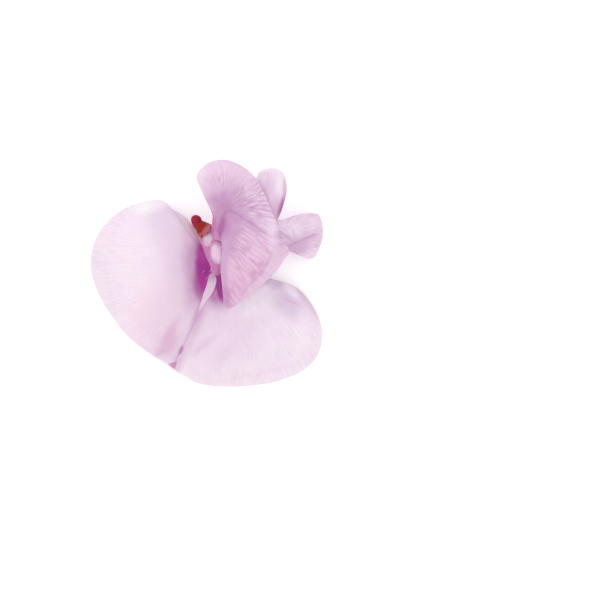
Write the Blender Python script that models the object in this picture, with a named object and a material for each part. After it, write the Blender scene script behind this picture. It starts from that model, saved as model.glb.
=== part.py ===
# Bean flower, picked and lying on its back: a broad two-lobed banner petal on the
# surface, the two wing petals and the keel turned over to one side above it, and the
# calyx with a stub of stalk. The origin is on the surface, under the middle of the
# flower. +X runs across the flower from the banner's left lobe to the right wing's
# tip, +Y runs towards the stalk's side, and +Z is up, towards the open face.
# Sizes in this file are millimetres until each mesh is made.
import math

import bmesh
import bpy
import numpy as np
from mathutils import Vector

MM = 0.001
PETAL_THICKNESS = 0.6
REST_HEIGHT = PETAL_THICKNESS / 2   # middle of a petal that lies on the surface
BANNER_ARCH = (0.8, 6)              # crown nearer the midline if under 1, then how
WING_ARCH = (1.15, 16)              # late a lobe levels out at its margin
BANNER_GRID = (32, 13)              # rows from claw to tip, columns from midline to margin
LEFT_WING_GRID = (28, 10)
RIGHT_WING_GRID = (24, 7)

# A petal is a row of ribs from its claw, held in the calyx, to its tip. Each rib is
# (middle, one margin, other margin, crown of one half, crown of the other half).
BANNER_RIBS = [
    ((0.05, 6.95, 3.35), (-0.15, 6.70, 3.35), (0.25, 7.20, 3.35), 0, 0),
    ((0.60, 6.55, 3.30), (0.25, 6.15, 3.30), (0.95, 7.00, 3.30), 0, 0),
    ((1.05, 5.70, 2.40), (0.15, 4.75, 1.95), (2.00, 6.45, 2.45), 0, 0),
    ((1.05, 4.35, 1.90), (-1.15, 5.35, 1.85), (3.50, 4.95, 1.85), 0.1, 0.1),
    ((0.95, 2.55, 1.80), (-2.90, 8.30, 2.60), (6.40, 2.10, 1.40), 0.6, 0.3),
    ((0.90, 0.45, 1.60), (-7.40, 11.05, 2.00), (9.80, -0.65, 1.40), 1.9, 1.0),
    ((0.45, -1.95, 1.60), (-12.65, 9.70, 1.20), (13.60, -2.00, 1.40), 2.6, 1.8),
    ((-0.55, -4.35, 1.60), (-16.25, 6.00, 0.70), (16.45, -5.50, 1.10), 2.9, 2.3),
    ((-1.45, -6.60, 1.70), (-17.45, 1.50, -0.70), (17.45, -9.60, 0.70), 2.7, 2.4),
    ((-2.35, -8.55, 1.80), (-16.10, -3.30, -0.60), (15.95, -13.40, 0.20), 2.2, 2.2),
    ((-3.20, -10.35, 1.80), (-12.55, -8.55, 0.70), (11.45, -15.95, -0.60), 1.6, 1.8),
    ((-4.05, -11.90, 1.60), (-8.60, -11.80, 1.10), (5.15, -16.95, -0.60), 0.9, 1.3),
    ((-4.65, -12.95, 1.40), (-6.45, -13.05, 1.30), (-0.65, -16.60, 0.40), 0.4, 0.7),
    ((-4.90, -13.30, 1.30), (-5.50, -13.55, 1.30), (-4.20, -14.65, 1.10), 0.1, 0.1),
]
LEFT_WING_RIBS = [
    ((0.00, 7.00, 6.60), (0.30, 7.40, 6.55), (-0.20, 6.75, 6.55), 0, 0),
    ((0.65, 6.60, 6.65), (1.00, 7.05, 6.60), (0.35, 6.20, 6.60), 0, 0),
    ((1.75, 6.75, 7.35), (1.65, 7.60, 7.45), (1.40, 5.40, 7.90), 0, 0),
    ((2.30, 7.90, 7.80), (0.95, 9.45, 7.90), (2.30, 4.70, 8.80), 0.2, 0.2),
    ((3.45, 9.40, 7.80), (-0.60, 12.75, 8.60), (2.40, 2.70, 9.10), 0.5, 0.6),
    ((4.90, 8.90, 8.20), (-1.10, 14.70, 8.70), (2.35, 0.75, 9.00), 0.8, 1.1),
    ((6.40, 7.95, 8.50), (0.65, 16.50, 8.60), (2.60, -1.65, 7.80), 1.0, 1.4),
    ((7.70, 7.00, 8.60), (3.65, 16.80, 8.60), (3.25, -5.10, 5.80), 1.0, 1.5),
    ((9.00, 6.00, 8.60), (6.75, 15.05, 8.60), (6.15, -3.30, 6.00), 0.8, 1.3),
    ((10.20, 5.20, 8.50), (9.05, 12.30, 8.50), (8.55, -1.50, 6.20), 0.5, 0.9),
    ((11.25, 4.50, 8.20), (10.35, 9.00, 8.30), (10.65, 0.55, 6.40), 0.3, 0.5),
    ((12.05, 3.80, 7.70), (11.45, 5.85, 8.00), (11.90, 2.35, 6.80), 0.1, 0.1),
    ((12.45, 3.30, 7.30), (12.15, 4.10, 7.50), (12.40, 2.90, 7.10), 0, 0),
]
RIGHT_WING_RIBS = [
    ((0.00, 7.00, 4.15), (0.40, 7.50, 4.15), (-0.40, 6.50, 4.15), 0, 0),
    ((0.65, 6.55, 4.15), (1.05, 7.05, 4.15), (0.25, 6.05, 4.15), 0, 0),
    ((1.70, 5.70, 3.75), (2.15, 6.65, 3.75), (1.25, 4.80, 3.70), 0, 0),
    ((3.65, 5.00, 3.10), (4.25, 7.95, 3.10), (3.15, 2.70, 3.10), 0.1, 0.1),
    ((6.10, 4.95, 2.90), (6.50, 9.60, 2.80), (5.75, 0.95, 2.80), 0.2, 0.2),
    ((8.45, 5.15, 2.80), (8.45, 9.90, 2.70), (8.55, 0.90, 2.60), 0.2, 0.2),
    ((10.40, 5.35, 2.80), (10.20, 8.45, 2.90), (10.80, 2.20, 2.80), 0.2, 0.2),
    ((12.05, 5.50, 2.50), (11.60, 8.15, 3.10), (12.55, 3.35, 2.80), 0.2, 0.2),
    ((13.70, 5.50, 1.80), (13.55, 8.85, 2.60), (14.05, 2.90, 2.20), 0.2, 0.2),
    ((15.40, 5.60, 0.60), (15.65, 9.15, 1.60), (15.40, 2.40, 1.20), 0.2, 0.2),
    ((16.65, 5.85, -0.20), (17.00, 8.90, 1.00), (16.50, 2.80, 0.70), 0, 0),
    ((17.30, 6.00, -0.20), (17.50, 7.65, 0.30), (17.20, 4.25, 0.20), 0, 0),
    ((17.60, 6.05, 0.00), (17.60, 6.60, 0.00), (17.50, 5.40, 0.00), 0, 0),
]

# The banner's raised white rib along the lower throat: where it starts and ends along
# the ribs, its height and half its width.
RIDGE_START = 4.8
RIDGE_END = 8.2
RIDGE_HEIGHT = 0.6
RIDGE_HALF_WIDTH = 0.5

# The keel is a boat folded round its axis. Each station is (axis point, reach of the
# closed side, reach of the open side, half width, how far round the fold goes in
# degrees each way).
KEEL_STATIONS = [
    ((0.28, 7.32, 5.45), 1.10, 1.00, 1.00, 22),
    ((0.70, 6.95, 5.45), 1.12, 1.00, 1.00, 24),
    ((1.25, 6.15, 5.60), 1.20, 1.00, 1.00, 34),
    ((1.50, 5.00, 5.85), 1.25, 1.10, 1.15, 78),
    ((1.65, 3.75, 6.00), 1.35, 1.30, 1.35, 130),
    ((2.25, 2.40, 6.10), 1.80, 1.60, 1.65, 150),
    ((3.50, 1.55, 6.10), 2.20, 1.90, 1.80, 155),
    ((5.35, 1.95, 6.10), 2.30, 2.00, 1.85, 155),
    ((7.10, 3.45, 6.00), 2.20, 1.90, 1.80, 155),
    ((8.30, 5.55, 5.90), 1.80, 1.70, 1.60, 155),
    ((9.05, 7.80, 5.80), 1.45, 1.45, 1.35, 155),
    ((9.60, 10.20, 5.70), 1.85, 1.90, 1.45, 160),
    ((9.80, 12.60, 5.70), 2.25, 2.25, 1.50, 165),
    ((9.80, 14.40, 5.70), 1.90, 1.90, 1.25, 170),
    ((9.75, 15.35, 5.70), 0.05, 0.05, 0.05, 175),
]
KEEL_THICKNESS = 0.5
KEEL_GRID = (30, 14)                # rows along it, columns round it

# The stamens and the pistil lie along the keel's axis. Places along it count stations.
SHEATH_RADIUS = 0.5
SHEATH_THICKNESS = 0.2
SHEATH_OPENING = 42                 # degrees each way that the sheath leaves open
SHEATH_END = 8.0
FILAMENTS = 9
FILAMENT_END = 11.0
FILAMENT_HALF_WIDTH = 7             # degrees round the axis
ANTHER_START = 10.3
ANTHER_HALF_WIDTH = 14
ANTHER_RADIUS = 0.16
FREE_STAMEN_RADIUS = 0.13
FREE_STAMEN_OFFSET = 0.66
FREE_STAMEN_START = 0.2
PISTIL_RADIUS = 0.16
PISTIL_START = 0.1
STYLE_START = 7.0                   # where the ovary narrows to the style
STYLE_SHARE = 0.7                   # the style's radius over the ovary's
PISTIL_END = 12.1

# The calyx is a cup on the line from the stalk to its mouth, narrower across than deep.
MOUTH = Vector((0.56, 6.75, 5.00))
CALYX_AXIS = Vector((0.8, -0.6, 0.0))
CALYX_ACROSS = Vector((0.6, 0.8, 0.0))
CALYX_LENGTH = 1.7
CALYX_WALL = 0.3
CALYX_DEPTH = 1.05                  # how deep the cup is hollow
CALYX_MOUTH_RADII = (1.90, 2.95)    # across, upright
CALYX_BASE_RADII = (0.70, 0.80)
CALYX_SQUARENESS = 2.6
CALYX_FLARE = 0.45                  # under 1 widens it soonest near its base
CALYX_TEETH = 5
NOTCH_DEPTH = 0.45                  # how far the lip is cut back between two teeth

STALK_RADIUS = 0.72
STALK_START = Vector((-1.00, 7.80, 5.00))
STALK_END = Vector((-2.05, 8.60, 5.20))


def clear_scene():
    for item in list(bpy.data.objects):
        bpy.data.objects.remove(item, do_unlink=True)


def material(name, colour, roughness):
    made = bpy.data.materials.new(name)
    made.use_nodes = True
    shader = made.node_tree.nodes["Principled BSDF"]
    shader.inputs["Base Color"].default_value = (*colour, 1.0)
    shader.inputs["Roughness"].default_value = roughness
    shader.inputs["Metallic"].default_value = 0.0
    return made


def smooth_at(values, place):
    """Catmull-Rom value at a place counted in entries of the list."""
    rows = np.asarray(values, dtype=float)
    last = len(rows) - 1
    first = min(int(place), last - 1)
    share = place - first
    before = rows[first - 1] if first > 0 else 2 * rows[0] - rows[1]
    after = rows[first + 2] if first + 2 <= last else 2 * rows[last] - rows[last - 1]
    here, there = rows[first], rows[first + 1]
    bend = 2 * before - 5 * here + 4 * there - after
    twist = 3 * here - before - 3 * there + after
    return here + 0.5 * share * ((there - before) + share * (bend + share * twist))


def link_mesh(name, mesh, look):
    mesh.materials.append(look)
    made = bpy.data.objects.new(name, mesh)
    bpy.context.scene.collection.objects.link(made)
    return made


def sheet_mesh(name, grid, wanted=None):
    """Triangle mesh of a grid of points; a row that closes to one point becomes a pole.

    wanted(row, column) says which squares of the grid have material."""
    shape = bmesh.new()
    corners = [[shape.verts.new(Vector(point) * MM) for point in row] for row in grid]
    for row in range(len(grid) - 1):
        for column in range(len(grid[0]) - 1):
            if wanted is None or wanted(row, column):
                near, far = corners[row], corners[row + 1]
                shape.faces.new((near[column], near[column + 1], far[column + 1]))
                shape.faces.new((near[column], far[column + 1], far[column]))
    loose = [corner for corner in shape.verts if not corner.link_faces]
    bmesh.ops.delete(shape, geom=loose, context="VERTS")
    bmesh.ops.remove_doubles(shape, verts=shape.verts, dist=1e-6)
    mesh = bpy.data.meshes.new(name)
    shape.to_mesh(mesh)
    shape.free()
    mesh.shade_smooth()
    return mesh


def thick_sheet(name, grid, thickness, look, wanted=None):
    made = link_mesh(name, sheet_mesh(name, grid, wanted), look)
    wall = made.modifiers.new("thickness", "SOLIDIFY")
    wall.thickness = thickness * MM
    wall.offset = 0.0
    return made


def blade_point(rib, side, share, arch):
    """Point of a petal's middle surface, a share of the way from midline to margin."""
    skew, flatness = arch
    middle, margin, crown = rib[0:3], rib[3 + 3 * side:6 + 3 * side], rib[9 + side]
    point = middle + (margin - middle) * share
    point[2] += crown * (1 - share ** flatness) * math.sin(math.pi * share ** skew)
    return point


def column_share(column, columns):
    """Share of the way to the margin, with the columns closer at both ends."""
    return 0.5 - 0.5 * math.cos(math.pi * abs(column) / columns)


def flat_rib(rib):
    return [*rib[0], *rib[1], *rib[2], rib[3], rib[4]]


def blade_grid(ribs, arch, size, relief=None):
    """Grid across a petal from one margin over the midline to the other."""
    rows, columns = size
    table = [flat_rib(rib) for rib in ribs]
    grid = []
    for row in range(rows + 1):
        place = (len(ribs) - 1) * row / rows
        rib = smooth_at(table, place)
        line = []
        for column in range(-columns, columns + 1):
            share = column_share(column, columns)
            side = 0 if column < 0 else 1
            point = blade_point(rib, side, share, arch)
            if relief is not None:
                point[2] += relief(place, np.linalg.norm(point - rib[0:3]))
            point[2] = max(point[2], REST_HEIGHT)
            line.append(point)
        grid.append(line)
    return grid


def throat_ridge(place, distance):
    """Height of the white rib, tapering to nothing at both ends."""
    along = (place - RIDGE_START) / (RIDGE_END - RIDGE_START)
    if along <= 0 or along >= 1:
        return 0.0
    taper = math.sin(math.pi * along ** 0.5)
    return RIDGE_HEIGHT * taper * math.exp(-(distance / RIDGE_HALF_WIDTH) ** 2)


def axis_frame(place):
    """Point on the keel's axis with its open side and sideways directions."""
    points = [station[0] for station in KEEL_STATIONS]
    last = len(points) - 1
    here = Vector(smooth_at(points, place))
    ahead = Vector(smooth_at(points, min(place + 0.05, last)))
    behind = Vector(smooth_at(points, max(place - 0.05, 0)))
    along = (ahead - behind).normalized()
    open_side = Vector((-along.y, along.x, 0.0)).normalized()
    return here, open_side, along.cross(open_side)


def round_axis(place, reach, width, degrees):
    """Point round the keel's axis; 0 degrees is its closed side."""
    here, open_side, sideways = axis_frame(place)
    angle = math.radians(degrees)
    return here - open_side * reach * math.cos(angle) + sideways * width * math.sin(angle)


def make_banner(look):
    grid = blade_grid(BANNER_RIBS, BANNER_ARCH, BANNER_GRID, throat_ridge)
    return thick_sheet("banner", grid, PETAL_THICKNESS, look)


def make_left_wing(look):
    grid = blade_grid(LEFT_WING_RIBS, WING_ARCH, LEFT_WING_GRID)
    return thick_sheet("wing_left", grid, PETAL_THICKNESS, look)


def make_right_wing(look):
    grid = blade_grid(RIGHT_WING_RIBS, WING_ARCH, RIGHT_WING_GRID)
    return thick_sheet("wing_right", grid, PETAL_THICKNESS, look)


def make_keel(look):
    table = [station[1:] for station in KEEL_STATIONS]
    rows, columns = KEEL_GRID
    grid = []
    for row in range(rows + 1):
        place = (len(table) - 1) * row / rows
        closed, opened, width, fold = smooth_at(table, place)
        line = []
        for column in range(columns + 1):
            degrees = fold * (2 * column / columns - 1)
            reach = closed if abs(degrees) < 90 else opened
            line.append(round_axis(place, reach, width, degrees))
        grid.append(line)
    tip = sum(grid[-1], Vector()) / (columns + 1)
    grid[-1] = [tip] * (columns + 1)
    return thick_sheet("keel", grid, KEEL_THICKNESS, look)


def closed_mesh(name, shape):
    """Mesh of a closed body, with its faces turned outwards."""
    bmesh.ops.recalc_face_normals(shape, faces=shape.faces)
    if shape.calc_volume(signed=True) < 0:
        bmesh.ops.reverse_faces(shape, faces=shape.faces)
    mesh = bpy.data.meshes.new(name)
    shape.to_mesh(mesh)
    shape.free()
    mesh.shade_smooth()
    return mesh


def tube_mesh(name, path, radii, sides):
    """Closed round body along a path, with a pole at each end."""
    shape = bmesh.new()
    rings = []
    for index, (point, radius) in enumerate(zip(path, radii)):
        ahead = path[min(index + 1, len(path) - 1)]
        behind = path[max(index - 1, 0)]
        along = (ahead - behind).normalized()
        across = along.cross(Vector((0, 0, 1))).normalized()
        upward = across.cross(along)
        ring = []
        for side in range(sides):
            angle = 2 * math.pi * side / sides
            place = point + (across * math.cos(angle) + upward * math.sin(angle)) * radius
            ring.append(shape.verts.new(place * MM))
        rings.append(ring)
    for near, far in zip(rings, rings[1:]):
        for side in range(sides):
            after = (side + 1) % sides
            shape.faces.new((near[side], far[side], far[after], near[after]))
    for ring, end in ((rings[0], path[0]), (rings[-1], path[-1])):
        pole = shape.verts.new(end * MM)
        for side in range(sides):
            shape.faces.new((ring[side], ring[(side + 1) % sides], pole))
    return closed_mesh(name, shape)


def sheath_degrees(column, place):
    """Degrees round the axis of one of the sheath's columns, four to a filament."""
    step = 2 * (180 - SHEATH_OPENING) / FILAMENTS
    number, part = divmod(column, 4)
    start = step * number - (180 - SHEATH_OPENING)
    if part == 0:
        return start
    half_width = ANTHER_HALF_WIDTH if place > ANTHER_START else FILAMENT_HALF_WIDTH
    return start + step / 2 + (part - 2) * half_width


def make_sheath(look):
    """Nine filaments joined in one sheath, each with a free end and an anther."""
    joined_rows, free_rows = 12, 9
    grid = []
    for row in range(joined_rows + free_rows + 1):
        if row <= joined_rows:
            place = SHEATH_END * row / joined_rows
        else:
            place = SHEATH_END + (FILAMENT_END - SHEATH_END) * (row - joined_rows) / free_rows
        angles = [sheath_degrees(column, place) for column in range(4 * FILAMENTS + 1)]
        grid.append([round_axis(place, SHEATH_RADIUS, SHEATH_RADIUS, angle) for angle in angles])

    def joined(row, column):
        return row < joined_rows or column % 4 in (1, 2)

    return thick_sheet("stamen_sheath", grid, SHEATH_THICKNESS, look, joined)


def make_free_stamen(look):
    places = np.linspace(FREE_STAMEN_START, FILAMENT_END, 27)
    path = [round_axis(place, FREE_STAMEN_OFFSET, FREE_STAMEN_OFFSET, 180) for place in places]
    radii = [FREE_STAMEN_RADIUS] * len(path)
    radii[-3:] = [ANTHER_RADIUS, ANTHER_RADIUS, ANTHER_RADIUS / 2]
    mesh = tube_mesh("free_stamen", path, radii, 6)
    return link_mesh("free_stamen", mesh, look)


def make_pistil(look):
    """Ovary inside the sheath, then the style and its stigma in the keel's beak."""
    places = np.linspace(PISTIL_START, PISTIL_END, 31)
    path = [axis_frame(place)[0] for place in places]
    radii = [PISTIL_RADIUS * (1.0 if place < STYLE_START else STYLE_SHARE) for place in places]
    radii[0] = PISTIL_RADIUS / 2
    radii[-2:] = [PISTIL_RADIUS * 1.2, PISTIL_RADIUS / 2]
    mesh = tube_mesh("pistil", path, radii, 8)
    return link_mesh("pistil", mesh, look)


def calyx_ring(shape, back, radii, sides, notched):
    """Ring of points round the calyx's axis, a distance back from the mouth."""
    ring = []
    for side in range(sides):
        angle = 2 * math.pi * side / sides
        power = 2 / CALYX_SQUARENESS
        across = math.copysign(abs(math.cos(angle)) ** power, math.cos(angle)) * radii[0]
        upright = math.copysign(abs(math.sin(angle)) ** power, math.sin(angle)) * radii[1]
        notch = NOTCH_DEPTH * max(0.0, -math.cos(CALYX_TEETH * (angle - math.pi / 2)))
        point = MOUTH - CALYX_AXIS * (back + notch * notched)
        point = point + CALYX_ACROSS * across + Vector((0, 0, upright))
        ring.append(shape.verts.new(point * MM))
    return ring


def flared(share):
    """Radii of the calyx's outside, from its base at 0 to its mouth at 1."""
    grown = share ** CALYX_FLARE
    return [base + (mouth - base) * grown
            for base, mouth in zip(CALYX_BASE_RADII, CALYX_MOUTH_RADII)]


def make_calyx(look):
    sides, steps = 30, 6
    shape = bmesh.new()
    rings = []
    for step in range(steps + 1):
        share = step / steps
        rings.append(calyx_ring(shape, CALYX_LENGTH * (1 - share), flared(share), sides,
                                1.0 if step == steps else 0.0))
    for back in (0.0, CALYX_DEPTH * 0.5, CALYX_DEPTH):
        inner = [radius - CALYX_WALL for radius in flared(1 - back / CALYX_LENGTH)]
        rings.append(calyx_ring(shape, back, inner, sides, 1.0 if back == 0 else 0.0))
    for near, far in zip(rings, rings[1:]):
        for side in range(sides):
            after = (side + 1) % sides
            shape.faces.new((near[side], far[side], far[after], near[after]))
    for ring, back in ((rings[0], CALYX_LENGTH), (rings[-1], CALYX_DEPTH)):
        pole = shape.verts.new((MOUTH - CALYX_AXIS * back) * MM)
        for side in range(sides):
            shape.faces.new((ring[side], ring[(side + 1) % sides], pole))
    return link_mesh("calyx", closed_mesh("calyx", shape), look)


def make_stalk(look):
    """Rounded stub of the flower's stalk, against the calyx's base."""
    steps = 8
    path, radii = [], []
    for step in range(1, steps):
        share = step / steps
        path.append(STALK_START.lerp(STALK_END, share))
        radii.append(STALK_RADIUS * math.sin(math.pi * share) ** 0.5)
    return link_mesh("pedicel", tube_mesh("pedicel", path, radii, 16), look)


def build():
    clear_scene()
    make_banner(material("banner_petal", (0.84, 0.72, 0.81), 0.55))
    wing = material("wing_petal", (0.73, 0.50, 0.68), 0.55)
    make_left_wing(wing)
    make_right_wing(wing)
    make_keel(material("keel_petal", (0.82, 0.65, 0.79), 0.5))
    cream = material("stamen", (0.86, 0.82, 0.70), 0.6)
    make_sheath(cream)
    make_free_stamen(cream)
    make_pistil(material("pistil_green", (0.55, 0.62, 0.35), 0.5))
    make_calyx(material("calyx_brown", (0.32, 0.05, 0.06), 0.5))
    make_stalk(material("stalk_red", (0.24, 0.02, 0.05), 0.45))


build()
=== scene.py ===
import math

import bpy
import numpy as np
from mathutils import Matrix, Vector


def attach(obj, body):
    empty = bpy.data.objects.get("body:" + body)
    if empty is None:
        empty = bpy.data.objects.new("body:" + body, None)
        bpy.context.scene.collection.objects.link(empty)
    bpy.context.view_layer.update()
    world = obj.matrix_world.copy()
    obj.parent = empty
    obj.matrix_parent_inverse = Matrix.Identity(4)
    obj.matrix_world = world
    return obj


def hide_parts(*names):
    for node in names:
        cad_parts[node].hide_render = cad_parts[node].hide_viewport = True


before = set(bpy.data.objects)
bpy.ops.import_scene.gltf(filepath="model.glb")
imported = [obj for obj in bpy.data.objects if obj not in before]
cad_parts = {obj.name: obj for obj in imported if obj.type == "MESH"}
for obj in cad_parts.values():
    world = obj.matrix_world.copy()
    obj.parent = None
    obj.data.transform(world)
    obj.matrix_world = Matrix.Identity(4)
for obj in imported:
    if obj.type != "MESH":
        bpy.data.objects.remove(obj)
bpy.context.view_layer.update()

# Banner: the broad petal that the flower lies on, one soft sheet of plant tissue with two
# lobes, a raised white rib up its lower throat and a magenta stain on each side of it. Its
# narrow claw grows from the bottom of the calyx.
MM = 0.001                          # the lengths in this script are millimetres
FACE_UP = (0, 0, 1)
CAD_HALF_WALL = 0.3
RIM_ROUNDING = 0.8                  # how far a rounded margin bulges, in half walls
MARGIN_CROWDING = 1.4               # over 1 sets a petal's columns closer near its margin
BANNER_RIBS = [
    ((0.05, 6.95, 3.35), (-0.15, 6.70, 3.35), (0.25, 7.20, 3.35), 0, 0),
    ((0.60, 6.55, 3.30), (0.25, 6.15, 3.30), (0.95, 7.00, 3.30), 0, 0),
    ((1.05, 5.70, 2.40), (0.05, 5.05, 1.95), (2.00, 6.45, 2.45), 0, 0),
    ((1.05, 4.35, 1.90), (-1.00, 5.60, 1.85), (3.50, 4.95, 1.85), 0.1, 0.1),
    ((0.95, 2.55, 1.80), (-2.90, 8.30, 2.60), (6.40, 2.10, 1.40), 0.6, 0.3),
    ((0.93, 1.55, 1.70), (-5.05, 9.80, 2.35), (8.20, 0.80, 1.40), 1.3, 0.65),
    ((0.90, 0.45, 1.60), (-7.25, 11.15, 2.00), (9.80, -0.65, 1.40), 1.9, 1.0),
    ((0.45, -1.95, 1.60), (-12.65, 9.70, 1.20), (13.60, -2.00, 1.40), 2.6, 1.8),
    ((-0.55, -4.35, 1.60), (-16.25, 6.00, 0.70), (16.45, -5.50, 1.10), 2.9, 2.3),
    ((-1.45, -6.60, 1.70), (-17.45, 1.50, -0.70), (17.45, -9.60, 0.70), 2.7, 2.4),
    ((-2.35, -8.55, 1.80), (-16.10, -3.30, -0.60), (15.95, -13.40, 0.20), 2.2, 2.2),
    ((-3.20, -10.35, 1.80), (-12.55, -8.55, 0.70), (11.45, -15.95, -0.60), 1.6, 1.8),
    ((-4.05, -11.90, 1.60), (-8.60, -11.80, 1.10), (5.15, -16.95, -0.60), 0.9, 1.3),
    ((-4.65, -13.05, 1.40), (-6.45, -13.05, 1.30), (-0.65, -16.60, 0.40), 0.4, 0.7),
    ((-4.75, -14.20, 1.25), (-5.50, -13.65, 1.30), (-4.20, -14.70, 1.10), 0, 0),
]
BANNER_ARCH = (0.8, 5, 0.05)
BANNER_WALL = (0.42, 0.16)          # at the midline, at the margin
RIDGE_START = 5.6                   # the white rib, from and to which rib row
RIDGE_END = 9.2
RIDGE_HEIGHT = 0.6
RIDGE_HALF_WIDTH = 0.5
CREASE_FILL = 0.34
CREASE_HALF_WIDTH = 0.75
FOLD_CENTRE = (0.6, -0.5)           # the soft folds fan out from here
FOLD_HEIGHT = 0.10
FOLDS_PER_RADIAN = 17
BANNER_WAVE = (0.10, 2.6)           # height of the margin's slow wave, and its turn per rib


def smooth_rows(values, places):
    """Catmull-Rom rows of a table at places counted in its rows."""
    rows = np.asarray(values, float)
    padded = np.vstack([2 * rows[0] - rows[1], rows, 2 * rows[-1] - rows[-2]])
    first = np.clip(places.astype(int), 0, len(rows) - 2)
    share = (places - first)[:, None]
    before, here, there, after = (padded[first + step] for step in range(4))
    bend = 2 * before - 5 * here + 4 * there - after
    twist = 3 * here - before - 3 * there + after
    return here + 0.5 * share * ((there - before) + share * (bend + share * twist))


def petal_middle(ribs, arch, rows, columns):
    """Middle surface of a petal, with each point's place along its ribs and signed share.

    A rib holds its points on the midline, the left and the right margin, and the height of
    its crown on each side. arch holds the crown's skew and flatness, and how round its
    midline is."""
    table = [[*rib[0], *rib[1], *rib[2], rib[3], rib[4]] for rib in ribs]
    places = np.linspace(0, len(ribs) - 1, rows + 1)
    rib = smooth_rows(table, places)[:, None, :]
    count = np.arange(-columns, columns + 1)
    signed = np.sign(count) * (1 - (1 - np.abs(count) / columns) ** MARGIN_CROWDING)
    share = np.abs(signed)[None, :, None]
    left = (count < 0)[None, :, None]
    margin = np.where(left, rib[..., 3:6], rib[..., 6:9])
    crown = np.where(left, rib[..., 9:10], rib[..., 10:11])
    middle = rib[..., 0:3] + (margin - rib[..., 0:3]) * share
    skew, flatness, roundness = arch
    soft = (np.sqrt(share ** 2 + roundness ** 2) - roundness) / (np.hypot(1, roundness) - roundness)
    middle[..., 2:] += crown * (1 - share ** flatness) * np.sin(np.pi * soft ** skew)
    where, side = np.meshgrid(places, signed, indexing="ij")
    return middle, where, side


def unit(vectors):
    return vectors / np.maximum(np.linalg.norm(vectors, axis=-1, keepdims=True), 1e-9)


def sheet_normals(middle):
    along = np.gradient(middle, axis=0)
    across = np.gradient(middle, axis=1)
    normal = unit(np.cross(across, along))
    for _ in range(6):
        wide = np.pad(normal, ((1, 1), (1, 1), (0, 0)), mode="edge")
        normal = unit(wide[:-2, 1:-1] + wide[2:, 1:-1] + wide[1:-1, :-2] + wide[1:-1, 2:])
    return normal


def shell_object(name, middle, wall, place, facing):
    """Closed petal of varying wall about a middle surface, with a rounded margin.

    place is stored on the points for the material: millimetres along, across, and share.
    facing is the way that the normals are to look, one for all points or one for each."""
    rows, columns = middle.shape[:2]
    normal = sheet_normals(middle)
    if (normal * facing).sum() < 0:
        normal = -normal
    half = (wall / 2)[..., None]
    number = np.arange(rows * columns).reshape(rows, columns)
    edge = np.concatenate([number[0, :-1], number[:-1, -1], number[-1, :0:-1], number[:0:-1, 0]])
    inner = np.concatenate([number[1, :-1], number[:-1, -2], number[-2, :0:-1], number[:0:-1, 1]])
    flat = middle.reshape(-1, 3)
    outward = unit(flat[edge] - flat[inner])
    rim = flat[edge] + outward * half.reshape(-1, 1)[edge] * RIM_ROUNDING
    points = np.concatenate([(middle + normal * half).reshape(-1, 3),
                             (middle - normal * half).reshape(-1, 3), rim])
    quads = np.stack([number[:-1, :-1], number[:-1, 1:], number[1:, 1:], number[1:, :-1]], -1)
    quads = quads.reshape(-1, 4)
    under = rows * columns
    ring = np.arange(len(edge)) + 2 * under
    after = np.roll(edge, -1)
    ring_after = np.roll(ring, -1)
    faces = np.concatenate([quads, quads[:, ::-1] + under,
                            np.stack([after, edge, ring, ring_after], -1),
                            np.stack([ring_after, ring, edge + under, after + under], -1)])
    spread = np.concatenate([place.reshape(-1, 3), place.reshape(-1, 3),
                             place.reshape(-1, 3)[edge]])
    return mesh_object(name, points, faces, spread)


def placed(name, data):
    """New object of some data, at the origin of the scene."""
    made = bpy.data.objects.new(name, data)
    bpy.context.scene.collection.objects.link(made)
    return made


def store(mesh, label, vectors):
    """Keeps a vector for each point of a mesh."""
    stored = mesh.attributes.new(label, "FLOAT_VECTOR", "POINT")
    stored.data.foreach_set("vector", vectors.astype(np.float32).ravel())


def mesh_object(name, points, faces, place=None, caps=()):
    """Smooth object from millimetre points, turned outwards; caps are faces of many sides."""
    mesh = bpy.data.meshes.new(name)
    mesh.from_pydata((points * MM).tolist(), [], faces.tolist() + [cap.tolist() for cap in caps])
    corner = points[faces]
    area = np.cross(corner[:, 2] - corner[:, 0], corner[:, 3 % corner.shape[1]] - corner[:, 1])
    if (corner.mean(1) * area).sum() < 0:
        mesh.flip_normals()
    mesh.shade_smooth()
    if place is not None:
        store(mesh, "petal_place", place)
    return placed(name, mesh)


def petal_place(middle, share):
    """Millimetres along the petal from its claw, signed millimetres across, and share."""
    centre = middle[:, middle.shape[1] // 2]
    steps = np.linalg.norm(np.diff(centre, axis=0), axis=1)
    along = np.concatenate([[0], np.cumsum(steps)])[:, None] + np.zeros_like(share)
    across = np.sign(share) * np.linalg.norm(middle - centre[:, None], axis=-1)
    return np.stack([along, across, share], -1)


def petal_wall(sizes, share):
    thick, thin = sizes
    return thick + (thin - thick) * np.abs(share) ** 2


def relax(middle, rounds):
    """Evens out the heights inside a petal and leaves its margin as it is."""
    height = middle[..., 2]
    for _ in range(rounds):
        around = height[:-2, 1:-1] + height[2:, 1:-1] + height[1:-1, :-2] + height[1:-1, 2:]
        height[1:-1, 1:-1] = around / 4


def part_way(value, start, end):
    """Share of the way from start to end that a value has come, from 0 to 1."""
    return np.clip((value - start) / (end - start), 0, 1)


def margin_wave(where, share, height, pace, shift, start):
    """Slow wave of the margin from the start rib on; it dies out towards the midline."""
    return height * np.abs(share) ** 3 * np.sin(where * pace + shift) * (where > start)


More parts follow.
